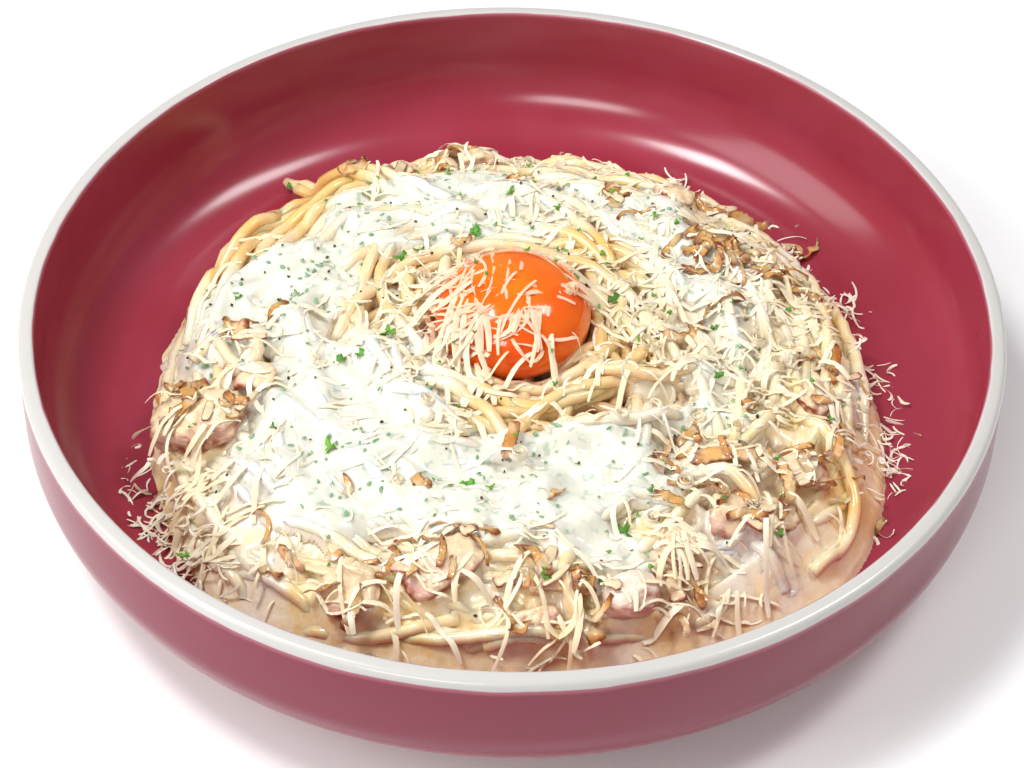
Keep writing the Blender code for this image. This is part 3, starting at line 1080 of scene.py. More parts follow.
CREAM_LOBES = (
    (78, -2, 3.2, 0.9), (77, -10, 2.6, 0.8), (25, -60, 5, 1.1), (12, -60, 4.5, 1.0), (-24, -22, 5.0, 0.8),
    (-44, -8, 4.0, 0.6), (20, 50, 4.0, 0.6), (52, 14, 3.5, 0.6), (-46, -14, 9, 0.9), (-50, 8, 8, 0.8),
    (-42, 26, 8, 0.8), (-30, -26, 8, 0.8), (-31, -2, 6, 0.7), (-28, 44, 7, 0.7), (-2, 55, 7, 0.7),
    (16, 54, 6, 0.7), (-67, 9, 5, 0.9), (-71, 2, 4, 0.8), (-63, 18, 5, 0.7), (34, 50, 6, 0.7),
    (49, 20, 6, 0.7), (52, 2, 5, 0.7), (47, -14, 6, 0.7), (38, -27, 7, 0.8),
)
MILKY = (
    (-30, -10, 22, 0.5), (0, 60, 14, 0.4), (48, 15, 18, 0.4), (30, -25, 12, 0.3), (0, -50, 20, 0.2),
    (50, -58, 10, 0.45), (-57, -50, 10, 0.4), (26, -78, 4, 0.4), (-50, -61, 5, 0.35),
)


@dataclass
class Layers:
    """The height maps that the food is built up on."""

    relief: Relief
    floor: float
    shape: Array
    ceiling: Array
    top: Array
    sauce: Array

    @classmethod
    def read(cls, relief: Relief, floor: float) -> "Layers":
        """Reads the CAD solids: the heap's top and the undersides of what lies on it.

        Args:
            relief: the grid.
            floor: the height of the bowl's floor.

        Returns:
            The layers before any food is laid.
        """
        shape = relief.look_down(["spaghetti_heap", "carbonara_sauce"], floor)
        ceiling = relief.look_down([*BACON_NODES, *ONION_NODES, "egg_yolk"], 1.0, from_below=True)
        return cls(relief, floor, shape, ceiling, shape.copy(), shape.copy())

    def held_under(self, heights: Array, overlap: float) -> Array:
        """A map that reaches no further than this into the toppings over it."""
        return np.where(self.ceiling < 0.5, np.minimum(heights, self.ceiling + overlap), heights)

    def cover(self, name: str) -> None:
        """Raises the top to a CAD node that lies on the food."""
        self.top = np.maximum(self.top, self.relief.look_down([name], 0.0))


class Lay(Enum):
    """Ways that a strand can lie, each with its share of them all."""

    SWIRL = 0.55
    WANDER = 0.33
    LOOP = 0.12


@dataclass
class SpaghettiHeap:
    """Long boiled strands, laid one on the other until they fill the heap's form."""

    layers: Layers
    strand_radius: float = 1.5 * MM
    most_strands: int = 420
    tries: int = 20
    step: float = 2.1 * MM
    shortest: float = 80 * MM
    longest: float = 190 * MM
    margin: float = 3.2 * MM
    layer_depth: float = 5.2 * MM
    proud: float = 0.5 * MM
    sag: float = 1.45 * MM
    bend_radius: float = 6.5 * MM
    swirl_reach: float = 84 * MM
    swirl_shift: float = 14 * MM
    wander_bend: float = 34 * MM
    wander_reach: float = 72 * MM
    loop_bend: Span = (8 * MM, 14 * MM)
    loop_length: float = 26 * MM
    edge_room: float = 6 * MM
    end_droop: float = 2.6 * MM
    end_length: float = 9 * MM
    under_topping: float = 2.2 * MM
    most_proud: float = 2.8 * MM
    gap_depth: float = 2.6 * MM
    wobble: float = 0.04
    seed: int = 5
    finish: Finish = BoiledPasta()
    strands: list[Array] = field(default_factory=list)

    # Strands that stand out, each as points in millimetres: x, y and how high over the others.
    featured = (
        ((-57, 76, 1.5), (-47, 69, 1.5), (-37, 62, 1.0), (-27, 54, 0.5), (-15, 46, 0.0)),
        ((-54, 71, 0.5), (-44, 64, 1.0), (-35, 56, 0.8), (-27, 47, 0.0)),
        (
            (-60, 40, 0.5), (-64, 30, 1.0), (-67, 18, 1.0), (-68, 6, 1.0), (-64, -6, 1.2), (-56, -12, 1.0),
            (-49, -8, 0.6),
        ),
        ((-57, 49, 0.5), (-66, 38, 1.0), (-72, 24, 0.6), (-75, 10, 0.4)),
        ((-72, -4, 0.8), (-66, 2, 1.0), (-59, -1, 1.2), (-57, -8, 1.0), (-63, -12, 0.6)),
        ((66, -20, 0.6), (73, -28, 1.0), (76, -38, 0.6), (73, -48, 0.4), (66, -56, 0.2)),
        ((40, -40, 0.5), (48, -42, 1.0), (53, -48, 1.0), (50, -55, 0.5), (43, -57, 0.3)),
        ((14, -62, 0.5), (12, -68, 1.0), (14, -74, 0.8), (18, -79, 0.3)),
        ((17, -10, 0.6), (24, -14, 1.0), (33, -14, 1.0), (42, -10, 0.6)),
        ((10, -28, 0.5), (18, -30, 1.0), (28, -29, 0.8), (37, -24, 0.4)),
    )

    def route(self, rng: np.random.Generator, lay: Lay) -> Array:
        """The plan of a new strand: points on the table plane.

        Args:
            rng: where its random numbers come from.
            lay: the way that it lies.

        Returns:
            The points, one row each.
        """
        length = rng.uniform(self.shortest, self.longest)
        count = int(length / self.step)
        along = np.arange(count) * self.step
        turn = rng.choice([-1, 1])
        if lay is Lay.SWIRL:
            centre = rng.normal(0, self.swirl_shift, 2)
            base = rng.uniform(0.16, 1.0) ** 0.7 * self.swirl_reach
            angle = rng.uniform(0, 2 * math.pi) + turn * along / base
            wave = 1 + 0.09 * np.sin(rng.uniform(1.5, 3.0) * angle + rng.uniform(0, 6))
            path = centre + headed(angle) * (base * wave)[:, None]
        else:
            bend = rng.normal(0, 1 / self.wander_bend, 6)
            bend = np.interp(np.linspace(0, 5, count), np.arange(6), bend)
            if lay is Lay.LOOP:
                tight = 1 / rng.uniform(*self.loop_bend)
                bend = bend + turn * tight * np.exp(-(((along - length / 2) / self.loop_length) ** 2))
            heading = rng.uniform(0, 2 * math.pi) + np.cumsum(bend) * self.step
            path = np.cumsum(headed(heading), axis=0) * self.step
            away = rng.uniform(0, 2 * math.pi)
            middle = np.array([math.cos(away), math.sin(away)]) * rng.uniform(0, self.wander_reach)
            path += middle - path.mean(0)
        radius = np.linalg.norm(path, axis=1)
        edge = np.interp(np.degrees(np.arctan2(path[:, 1], path[:, 0])), np.arange(-180, 181), self.reach)
        keep = edge - self.edge_room
        room = keep + self.edge_room * np.tanh(np.maximum(radius - keep, 0) / (8 * MM))
        return path * (np.where(radius > keep, room, radius) / np.maximum(radius, 1e-9))[:, None]

    def edge(self) -> Array:
        """How far out a strand's middle line may lie in each whole degree from -180 to 180.

        Returns:
            The distance from the middle in each direction.
        """
        relief = self.layers.relief
        out = np.arange(60, 95, 0.5)[:, None] * MM
        places = out[..., None] * headed(np.radians(np.arange(-180, 181)))
        inside = relief.read(self.layers.shape, places) > self.layers.floor + 1 * MM
        return (inside * out).max(axis=0) - self.margin

    def settle(self, plan: Array) -> Array:
        """Lowers a strand onto the heap, stiff enough to span narrow gaps.

        Args:
            plan: the strand's points on the table plane.

        Returns:
            The points with their heights.
        """
        resting = self.layers.relief.support(self.layers.top, plan, self.strand_radius)
        height = stiff(resting, self.step, self.bend_radius) - self.sag
        end = np.minimum(np.arange(len(plan)), np.arange(len(plan))[::-1]) * self.step
        height -= self.end_droop * (1 - ease(end / self.end_length))
        return np.column_stack([plan, height])

    def lay_all(self) -> None:
        """Lays strands where the heap is lowest, until it is full."""
        rng = np.random.default_rng(self.seed)
        layers, relief = self.layers, self.layers.relief
        self.reach = self.edge()
        layers.top = np.maximum(relief.eroded(layers.shape, self.layer_depth), layers.floor)
        gaps = relief.spots(SHADED_GAPS)
        lays, odds = list(Lay), [lay.value for lay in Lay]
        for _ in range(self.most_strands):
            best, least = None, self.proud
            for _ in range(self.tries):
                strand = self.settle(self.route(rng, lays[rng.choice(len(lays), p=odds)]))
                crest = strand[:, 2] + self.strand_radius
                over = crest - relief.read(layers.shape, strand)
                under = relief.read(layers.ceiling, strand) - strand[:, 2] - self.strand_radius
                clear = under.min() > -self.under_topping and np.percentile(over, 92) < self.most_proud
                clear &= (relief.read(gaps, strand) * (over > -self.gap_depth)).max() < 0.6
                if clear and over.mean() < least:
                    best, least = strand, over.mean()
            if best is not None:
                self.strands.append(best)
                relief.raise_to(layers.top, best, self.strand_radius)
        for points in self.featured:
            plan = curve_through(points, self.step)
            strand = self.settle(plan[:, :2])
            limit = relief.read(layers.shape, plan) + 3 * MM
            strand[:, 2] = np.minimum(strand[:, 2] + self.sag + plan[:, 2], limit)
            self.strands.append(strand)
            relief.raise_to(layers.top, strand, self.strand_radius)
        LOG.info("%d strands laid", len(self.strands))

    def build(self, tones: dict[str, Array]) -> None:
        """Makes the strands' meshes.

        Args:
            tones: maps of how bare and milky the food is, and of the painted shade where it lies deep.
        """
        relief, rng = self.layers.relief, np.random.default_rng(self.seed + 1)
        half = len(self.strands) // 2
        sides = len(Section.ROUND.ring())
        for number, group in enumerate((self.strands[:half], self.strands[half:]), start=1):
            batch = Batch()
            for strand in group:
                stations = np.arange(0, len(strand) + 6, 6)
                uneven = rng.normal(1, self.wobble, len(stations))
                width = self.strand_radius * np.interp(np.arange(len(strand)), stations, uneven)
                paint = {name: np.repeat(relief.read(tone, strand), sides) for name, tone in tones.items()}
                below = relief.read(self.layers.shape, strand) - strand[:, 2]
                # Painted shade: a strand is coloured darker where it lies deep under the heap's top.
                paint["deep"] = np.repeat(ease((below - 3.0 * MM) / (4 * MM)), sides) * 0.8
                batch.add(*sweep(strand, Section.ROUND, width, width), **paint)
            batch.build(f"spaghetti_strands_{number}", self.finish, "pasta", "spaghetti_heap")


@dataclass
class Sauce:
    """The sauce that fills the heap between its strands and pools round its foot: the heap's core."""

    layers: Layers
    spread: float = 0.8 * MM
    soft: float = 0.45 * MM
    heap_radius: float = HEAP_RADIUS
    front_reach: float = 70 * MM
    rim_start: float = 0.62
    level_mm: float = 3.4
    gap_mm: float = 4.5
    skirt_start: float = 74 * MM
    embedded: float = 0.5 * MM
    border: float = 0.25
    finish: Finish = CreamSauce()

    def fill(self, cream_share: Array) -> dict[str, Array]:
        """Runs the sauce over the strands.

        Args:
            cream_share: where the herbed cream lies.

        Returns:
            Maps of how bare and milky the food is, and of the painted shade where it lies deep.
        """
        relief = self.layers.relief
        bare = np.clip(relief.spots(BARE_PASTA) + 0.16 * relief.lumps(12 * MM), 0, 1)
        gaps = np.clip(relief.spots(SHADED_GAPS), 0, 1)
        outward = relief.radius / self.heap_radius
        ahead = -relief.y / self.front_reach + 0.35 * relief.x / self.front_reach + 0.1
        frontward = ease(ahead * outward)
        surface = self.surface(self.richness(bare, frontward, outward), bare, gaps)
        self.settle(surface, frontward)
        return self.tones(bare, gaps, outward, cream_share)

    def richness(self, bare: Array, frontward: Array, outward: Array) -> Array:
        """How thickly the sauce coats the strands.

        Args:
            bare: where it ran off.
            frontward: how far to the front each place lies.
            outward: how far out it lies.

        Returns:
            The map.
        """
        relief = self.layers.relief
        rim = ease((outward - self.rim_start) / 0.3)
        saucy = 0.25 + 0.6 * frontward * rim + 0.3 * rim + 0.12 * relief.lumps(14 * MM) - 0.9 * bare
        return np.clip(saucy, 0, 1) + 0.8 * np.clip(relief.spots(SMOOTH_SAUCE), 0, 1)

    def surface(self, saucy: Array, bare: Array, gaps: Array) -> Array:
        """The sauce's skin: over each strand, and sagging between them to a level of its own.

        Args:
            saucy: how thickly the sauce coats the strands.
            bare: where it ran off.
            gaps: the deep gaps.

        Returns:
            Its heights.
        """
        layers, relief = self.layers, self.layers.relief
        over_strands = relief.blur(layers.top, self.spread) + (0.75 * saucy - 0.55 - 1.3 * bare) * MM
        level = relief.blur(layers.shape, 1.6 * MM) - (self.level_mm - 1.2 * saucy + 1.6 * bare) * MM
        level -= self.gap_mm * MM * gaps
        level += 0.12 * MM * relief.lumps(2.6 * MM)
        skin = self.soft * np.logaddexp(over_strands / self.soft, level / self.soft)
        skin -= 3 * MM * gaps * np.maximum(1 - saucy, 0)
        return skin + 0.34 * MM * saucy * relief.lumps(4.6 * MM)

    def settle(self, skin: Array, frontward: Array) -> None:
        """Lets the sauce run down to the bowl at the front, up to the toppings, and to an edge on the floor.

        Args:
            skin: the heights of its skin.
            frontward: how far to the front each place lies.
        """
        layers, relief = self.layers, self.layers.relief
        skirt = relief.blur(layers.shape - layers.floor, 3.4 * MM) * frontward
        skirt *= ease((relief.radius - self.skirt_start) / (5 * MM))
        skin = np.maximum(skin, layers.floor + 1.1 * skirt)
        under = np.where(layers.ceiling < 0.5, np.minimum(layers.ceiling + 0.7 * MM, skin + 2.2 * MM), 0.0)
        held = relief.blur((under > 0) * 1.0, 0.8 * MM) > 0.35
        skin = np.maximum(skin, np.where(held, relief.blur(np.maximum(under, skin), 0.7 * MM), 0.0))
        skin = layers.held_under(skin, 1.2 * MM)
        pool = (layers.shape > layers.floor + 0.3 * MM) * 1.0
        pool = relief.blur(np.maximum(pool, skirt > 1.4 * MM), 1.3 * MM) + 0.035 * relief.lumps(9 * MM)
        low = layers.floor - self.embedded
        layers.sauce = low + (skin - layers.floor + self.embedded) * ease((pool - 0.3) / 0.55)
        self.area = relief.main_area(pool > self.border, (0.0, 0.0))
        self.edge = (pool, self.border)

    def tones(self, bare: Array, gaps: Array, outward: Array, cream_share: Array) -> dict[str, Array]:
        """What the finishes of the sauce and the pasta read.

        Args:
            bare: where the sauce ran off.
            gaps: the deep gaps.
            outward: how far out each place lies.
            cream_share: where the herbed cream lies.

        Returns:
            Maps of how bare and milky the food is, and of the painted shade where it lies deep.
        """
        layers, relief = self.layers, self.layers.relief
        # Painted shade: the sauce darkens where it lies deep under what is round it, and in the shaded gaps.
        depth = relief.blur(np.maximum(layers.top, layers.sauce), 2.2 * MM) - layers.sauce
        deep = ease((depth - 1.5 * MM) / (2.6 * MM)) * ease((0.94 - outward) / 0.1) * 0.9
        deep = np.clip(deep + 0.8 * gaps**2, 0, 0.95)
        milky = 0.06 + 0.6 * relief.blur(cream_share, 2.5 * MM) + relief.spots(MILKY)
        milky = np.clip(milky + 0.12 * relief.lumps(7 * MM), 0, 1)
        return {"bare": 0.9 * bare, "deep": deep, "milky": milky * (1 - 0.5 * bare)}

    def build(self, tones: dict[str, Array]) -> None:
        """Makes the sauce's body, with a flat underside on the bowl.

        Args:
            tones: maps of how bare and milky the food is, and of the painted shade where it lies deep.
        """
        layers = self.layers
        bottom = np.full_like(layers.sauce, layers.floor - 0.8 * MM)
        points, faces, paint = layers.relief.sheet(layers.sauce, bottom, self.area, self.edge, **tones)
        count = len(points) // 2
        rim = faces[2:]
        outline = np.concatenate([quads[:, [3, 2]] for quads in rim])
        following = dict(outline.tolist())
        loop = [outline[0][0]]
        while following[loop[-1]] != loop[0]:
            loop.append(following[loop[-1]])
        keep = np.concatenate([np.arange(count), np.array(loop)])
        index = np.full(len(points), -1)
        index[keep] = np.arange(len(keep))
        batch = Batch()
        underside = index[np.array(loop)][None, :]
        paint = {name: value[keep] for name, value in paint.items()}
        batch.add(points[keep], [faces[0], *(index[quads] for quads in rim), underside], **paint)
        batch.build("cream_sauce_core", self.finish, "sauce", "carbonara_sauce")


@dataclass
class CreamCoat:
    """Herbed cream, spooned over the heap, that runs into its folds and thins out at its edges."""

    layers: Layers
    thickness: float = 1.5 * MM
    skin: float = 1.6 * MM
    border: float = 0.33
    finish: Finish = HerbedCream()

    def share(self) -> Array:
        """Where the cream lies: 1 in the middle of a patch, 0 away from it.

        Returns:
            The map.
        """
        relief = self.layers.relief
        patches = (relief.look_down(CREAM_NODES, 0.0) > 0) * 1.0
        patches = relief.blur(patches, 1.6 * MM) + np.clip(relief.spots(CREAM_LOBES), 0, 1)
        return np.clip(patches, 0, 1) + 0.15 * relief.lumps(8 * MM) + 0.1 * relief.lumps(3.5 * MM)

    def build(self, share: Array) -> Array:
        """Makes the cream.

        Args:
            share: where the cream lies.

        Returns:
            The mask of where the cream shows.
        """
        layers, relief = self.layers, self.layers.relief
        under = np.maximum(layers.top, layers.sauce)
        body = ease((share - 0.4) / 0.5)
        thick = self.thickness * body * (1 + 0.28 * relief.lumps(10 * MM))
        thick -= 0.7 * MM * (1 - ease((share - 0.34) / 0.2))
        ground = relief.blur(under, self.skin)
        top = layers.held_under(ground + thick, 0.9 * MM)
        batch = Batch()
        mask = (share > self.border) & (layers.shape > layers.floor + 2 * MM)
        thin = np.clip(1 - body * 1.6, 0, 1)
        bottom = np.minimum(ground - 1.3 * MM, top - 0.5 * MM)
        points, faces, paint = relief.sheet(top, bottom, mask, (share, self.border), thin=thin)
        batch.add(points, faces, **paint)
        batch.build("herbed_cream", self.finish, "cream", *CREAM_NODES)
        shown = mask & (top > under + 0.05 * MM)
        layers.top = np.maximum(under, np.where(mask, top, 0.0))
        return shown


# ---------------------------------------------------------------- toppings that are nodes of their own


@dataclass
class Yolk:
    """The raw yolk, which settles a little under its own weight."""

    finish: Finish = RawYolk()
    rings: int = 40
    sides: int = 72
    fullness: float = 0.94

    def build(self, layers: Layers) -> None:
        """Makes the yolk in its CAD place and adds it to the layers.

        Args:
            layers: the food, raised by it.
        """
        low, high = (np.array(corner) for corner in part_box("egg_yolk"))
        ball = bmesh.new()
        bmesh.ops.create_uvsphere(ball, u_segments=self.sides, v_segments=self.rings, radius=1.0)
        mesh = bpy.data.meshes.new("raw_yolk")
        ball.to_mesh(mesh)
        ball.free()
        co = points_of(mesh)
        angle = np.arctan2(co[:, 1], co[:, 0])
        out = np.hypot(co[:, 0], co[:, 1])
        uneven = 1 + 0.012 * np.sin(2 * angle + 0.6) + 0.008 * np.sin(3 * angle + 2.0)
        wide = out**self.fullness * 0.985 * uneven
        shape = np.column_stack([headed(angle) * wide[:, None], co[:, 2]])
        move_points(mesh, (low + high) / 2 + shape * (high - low) / 2)
        mesh.shade_smooth()
        finish_piece(put("raw_yolk", mesh), self.finish, "yolk", "egg_yolk")
        layers.cover("egg_yolk")


@dataclass
class FriedPieces:
    """Bacon and onion that are solids of their own: each is refined, ruffled and browned at its edges."""

    names: list[str]
    finish: Finish
    slot: str
    ruffle: float
    ruffle_size: float
    levels: int = 2
    seed: int = 3

    def build(self, layers: Layers) -> None:
        """Makes each piece over its CAD node and adds it to the layers.

        Args:
            layers: the food, raised by each.
        """
        rng = np.random.default_rng(self.seed)
        skew = np.array([[1, 0.4, -0.3], [-0.5, 1, 0.2], [0.3, -0.2, 1]])
        for name in self.names:
            source = put("coarse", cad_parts[name].data.copy())
            source.data.materials.clear()
            weld = source.modifiers.new("weld", "WELD")
            weld.merge_threshold = 1e-5
            smooth = source.modifiers.new("smooth", "SUBSURF")
            smooth.levels = smooth.render_levels = self.levels
            piece = baked(source, "fried_" + name)
            mesh = piece.data
            co, normal = points_of(mesh), points_of(mesh, "normal")
            phase = rng.uniform(0, 6, 3)
            wave = np.zeros(len(co))
            for octave, weight in ((1.0, 1.0), (2.1, 0.5), (4.3, 0.25)):
                turned = co @ skew * 2 * math.pi * octave
                wave += weight * np.sin(turned / self.ruffle_size + phase * octave).prod(axis=1)
            co += normal * (wave * self.ruffle)[:, None]
            move_points(mesh, co)
            spread = co - co.mean(0)
            share = np.abs(spread @ np.linalg.svd(spread, full_matrices=False)[2].T)
            share /= share.max(0) + 1e-9
            crisp = np.maximum(share[:, 0], share[:, 1]) ** 2.5
            paint_points(mesh, crisp=crisp, tint=np.full(len(co), rng.uniform(0, 1)))
            mesh.shade_smooth()
            finish_piece(piece, self.finish, self.slot, name)
            layers.cover(name)


# ---------------------------------------------------------------- scattered toppings


def pick_places(relief: Relief, density: Array, count: int, seed: int) -> Array:
    """Picks places at random, in proportion to a map.

    Args:
        relief: the grid.
        density: the map.
        count: how many.
        seed: the seed of the random numbers.

    Returns:
        The places, one row each.
    """
    rng = np.random.default_rng(seed)
    share = np.cumsum(np.clip(density, 0, None).ravel())
    chosen = np.searchsorted(share, rng.uniform(0, share[-1], count))
    jitter = rng.uniform(-0.5, 0.5, (count, 2)) * relief.cell
    return np.column_stack([relief.x.ravel()[chosen], relief.y.ravel()[chosen]]) + jitter


@dataclass(frozen=True)
class Tone:
    """How strips are tinted: on average, paler where they sink in cream, and painted warm by the yolk's glow.
    """

    mean: float = 0.5
    cream: Array | None = None
    yolk: Triple | None = None

    def paled(self, relief: Relief, place: Array) -> float:
        """How much paler a strip at this place is."""
        return 0.0 if self.cream is None else 0.6 * float(relief.read(self.cream, place))

    def painted_yolk_glow(self, path: Array) -> Array:
        """How much of the yolk's warm glow is painted on a strip along its path.

        Args:
            path: the points of its middle line.

        Returns:
            A number for each of them.
        """
        if self.yolk is None:
            return np.zeros(len(path))
        x, y, radius = self.yolk
        away = np.hypot(path[:, 0] - x, path[:, 1] - y) / radius
        return 0.85 * (1 - ease((away - 0.8) / 0.3))


@dataclass
class Ribbons:
    """Thin strips that were dropped on the food. Each kind of topping gives its own sizes."""

    name: str
    finish: Finish
    slot: str
    length_mm: Span
    width_mm: Span
    thickness_mm: Span
    curl_mm: Span
    seed: int
    count: int = 0
    tone: Tone = Tone()
    usual_mm: float = 5.0
    step_mm: float = 1.35
    bend_radius: float = 8 * MM
    lift_mm: float = 1.6
    lifted: float = 0.22
    roll: float = 0.16
    blunt: float = 0.8
    frill: float = 0.0
    sink: float = 0.0
    pile: float = 0.5
    odd_share: float = 0.12
    sharp_degrees: float = 180.0

    def cut(self, rng: np.random.Generator) -> Triple:
        """Cuts a new strip.

        Args:
            rng: where its random numbers come from.

        Returns:
            Its length, half its width and half its thickness.
        """
        length = rng.triangular(self.length_mm[0], self.usual_mm, self.length_mm[1]) * MM
        width = rng.uniform(*self.width_mm) * MM / 2
        if rng.uniform() < self.odd_share:
            length, width = length * 0.85, width * 1.4
        return length, width, rng.uniform(*self.thickness_mm) * MM / 2

    def curled(self, rng: np.random.Generator, along: Array, place: Array) -> Array:
        """The plan of a strip, which curls to one side, and now and then tightly.

        Args:
            rng: where its random numbers come from.
            along: how far its points are from its middle.
            place: where its middle lies.

        Returns:
            The points, one row each.
        """
        curl = rng.choice([-1, 1]) / (rng.uniform(*self.curl_mm) * MM)
        if rng.uniform() < self.odd_share:
            curl *= 3
        length, step = along[-1] - along[0], along[1] - along[0]
        heading = rng.uniform(0, 2 * math.pi) + curl * along * (1 + 0.6 * along / length)
        plan = np.cumsum(headed(heading), axis=0) * step
        return plan + (place - plan.mean(0))

    def rest(self, layers: Layers, plan: Array, width: float, step: float) -> Array:
        """How high a strip lies, stiff enough to span narrow gaps.

        Args:
            layers: what it falls on.
            plan: its points.
            width: half its width.
            step: the distance between its points.

        Returns:
            The height of each point.
        """
        relief = layers.relief
        resting = relief.support(layers.top, plan, max(width * 0.7, relief.cell * 1.1)) * 0.3
        resting += relief.read(layers.top, plan) * 0.7
        return stiff(resting, step, self.bend_radius)

    def drop(self, layers: Layers, places: Array, batch: Batch) -> None:
        """Drops one strip at each place.

        Args:
            layers: what they fall on, raised by each.
            places: where their middles lie.
            batch: the batch that gets them.
        """
        rng = np.random.default_rng(self.seed + len(batch.points))
        ring = Section.PILL.ring()
        for place in places:
            length, width, thick = self.cut(rng)
            count = max(4, int(length / (self.step_mm * MM)) + 1)
            along = np.linspace(-length / 2, length / 2, count)
            outward = np.abs(2 * along / length)
            plan = self.curled(rng, along, place)
            height = self.rest(layers, plan, width, along[1] - along[0]) + thick - self.sink
            if rng.uniform() < self.lifted:
                height = height + (along / length + 0.5) ** 2 * rng.uniform(0.2, 1.0) * self.lift_mm * MM
            ripple = np.sin(along / (1.1 * MM) + rng.uniform(0, 6))
            ripple = ripple + np.sin(along / (0.6 * MM) + rng.uniform(0, 6))
            path = np.column_stack([plan, height + self.frill * 0.22 * MM * ripple])
            taper = self.blunt + (1 - self.blunt) * np.sqrt(1 - outward**5)
            taper = taper * (1 + rng.normal(0, 0.05 + 0.1 * self.frill, count))
            roll = rng.normal(0, self.roll) + np.linspace(-0.5, 0.5, count) * rng.normal(0, self.roll * 1.6)
            roll = roll + self.frill * 0.4 * ripple[::-1]
            body = sweep(path, Section.PILL, width * taper, thick, roll)
            crisp = np.maximum(outward[:, None] ** 2, np.abs(ring[None, :, 0]) ** 3).ravel()
            tint = rng.normal(self.tone.mean, 0.18) * (1 - self.tone.paled(layers.relief, place))
            # Painted light: the yolk's warm glow on the strips that lie on it.
            warm = np.repeat(self.tone.painted_yolk_glow(path), len(ring))
            batch.add(*body, tint=np.clip(tint, 0, 1), crisp=crisp, warm=warm)
            layers.relief.raise_to(layers.top, path - (0, 0, thick), width * 0.6, thick * self.pile)

    def build(self, batch: Batch, name: str) -> None:
        """Turns a batch into a piece."""
        batch.build(name, self.finish, self.slot, sharp_degrees=self.sharp_degrees)

    def scatter(self, layers: Layers, density: Array) -> None:
        """Drops the strips at random and makes them a piece.

        Args:
            layers: what they fall on, raised by each.
            density: a map of how likely they are.
        """
        batch = Batch()
        self.drop(layers, pick_places(layers.relief, density, self.count, self.seed), batch)
        self.build(batch, self.name)


@dataclass
class BaconBits(Ribbons):
    """The small bits of bacon."""

    name: str = "bacon_bits"
    finish: Finish = SmokedBacon()
    slot: str = "bacon"
    length_mm: Span = (3.0, 9.0)
    width_mm: Span = (1.4, 3.4)
    thickness_mm: Span = (0.6, 1.2)
    curl_mm: Span = (10.0, 40.0)
    seed: int = 51
    count: int = 30
    step_mm: float = 0.8
    bend_radius: float = 12 * MM
    lift_mm: float = 0.6
    sink: float = 0.6 * MM
    pile: float = 1.0
    frill: float = 0.4


@dataclass
class OnionFlakes(Ribbons):
    """The small flakes of fried onion, frilled and partly rolled up."""

    name: str = "onion_flakes"
    finish: Finish = FriedOnion()
    slot: str = "onion"
    length_mm: Span = (3.0, 18.0)
    width_mm: Span = (0.8, 3.0)
    thickness_mm: Span = (0.14, 0.3)
    curl_mm: Span = (4.0, 16.0)
    seed: int = 61
    count: int = 120
    usual_mm: float = 6.0
    step_mm: float = 0.6
    bend_radius: float = 4 * MM
    lift_mm: float = 1.4
    roll: float = 0.5
    frill: float = 0.7
    pile: float = 0.8
    sharp_degrees: float = 60.0


@dataclass
class DillFlecks(Ribbons):
    """Flecks of dill on the cream."""

    name: str = "dill_flecks"
    finish: Finish = ChoppedDill()
    slot: str = ""
    length_mm: Span = (0.45, 2.0)
    width_mm: Span = (0.3, 0.9)
    thickness_mm: Span = (0.15, 0.3)
    curl_mm: Span = (2.0, 8.0)
    seed: int = 71
    count: int = 270
    tone: Tone = Tone(0.4)
    usual_mm: float = 0.9
    step_mm: float = 0.4
    lifted: float = 0.0
    roll: float = 0.3
    blunt: float = 0.3
    sink: float = 0.05 * MM
    pile: float = 0.0


@dataclass
class PepperGrains(DillFlecks):
    """Grains of ground pepper."""

    name: str = "pepper_grains"
    finish: Finish = GroundPepper()
    length_mm: Span = (0.4, 0.9)
    width_mm: Span = (0.35, 0.8)
    thickness_mm: Span = (0.3, 0.6)
    seed: int = 72
    count: int = 130
    tone: Tone = Tone(0.25)
    usual_mm: float = 0.6


@dataclass
class CheeseShreds(Ribbons):
    """Hard cheese from a coarse grater."""

    name: str = "cheese_shreds"
    finish: Finish = HardCheese()
    slot: str = "cream"
    length_mm: Span = (6.5, 20.0)
    width_mm: Span = (0.6, 1.5)
    thickness_mm: Span = (0.08, 0.16)
    curl_mm: Span = (5.0, 40.0)
    seed: int = 41
    usual_mm: float = 9.0
    step_mm: float = 1.2
    sink: float = 0.3 * MM
    roll: float = 0.13
    frill: float = 0.12
    blunt: float = 0.7
    lift_mm: float = 1.2
    bend_radius: float = 3 * MM
    pile: float = 0.2
    sharp_degrees: float = 60.0

    def coil(self, layers: Layers, places: Array, batch: Batch) -> None:
        """Drops shreds that the grater rolled up into small coils, each on its edge.

        Args:
            layers: what they fall on.
            places: where their middles lie.
            batch: the batch that gets them.
        """
        rng = np.random.default_rng(self.seed + 1)
        for place in places:
            turns = rng.uniform(1.2, 2.5)
            angle = rng.uniform(0, 6) + np.linspace(0, turns, int(turns * 11)) * 2 * math.pi
            radius = np.linspace(rng.uniform(1.5, 2.3), rng.uniform(0.5, 0.9), len(angle)) * MM
            width = rng.uniform(0.5, 0.9) * MM
            rise = np.linspace(0, rng.uniform(-0.6, 0.9), len(angle)) * MM
            path = np.column_stack([headed(angle) * radius[:, None], rise])
            tilt = Matrix.Rotation(rng.uniform(0, 6), 3, "Z") @ Matrix.Rotation(rng.normal(0, 0.35), 3, "X")
            path = path @ np.array(tilt).T
            ground = layers.relief.support(layers.top, np.array([[*place, 0.0]]), 1.2 * MM)[0] - 1.2 * MM
            path += (*place, ground + width * 0.55)
            body = sweep(path, Section.PILL, width, 0.09 * MM, math.pi / 2)
            batch.add(*body, tint=rng.uniform(0, 0.5), crisp=0.0, warm=0.0)


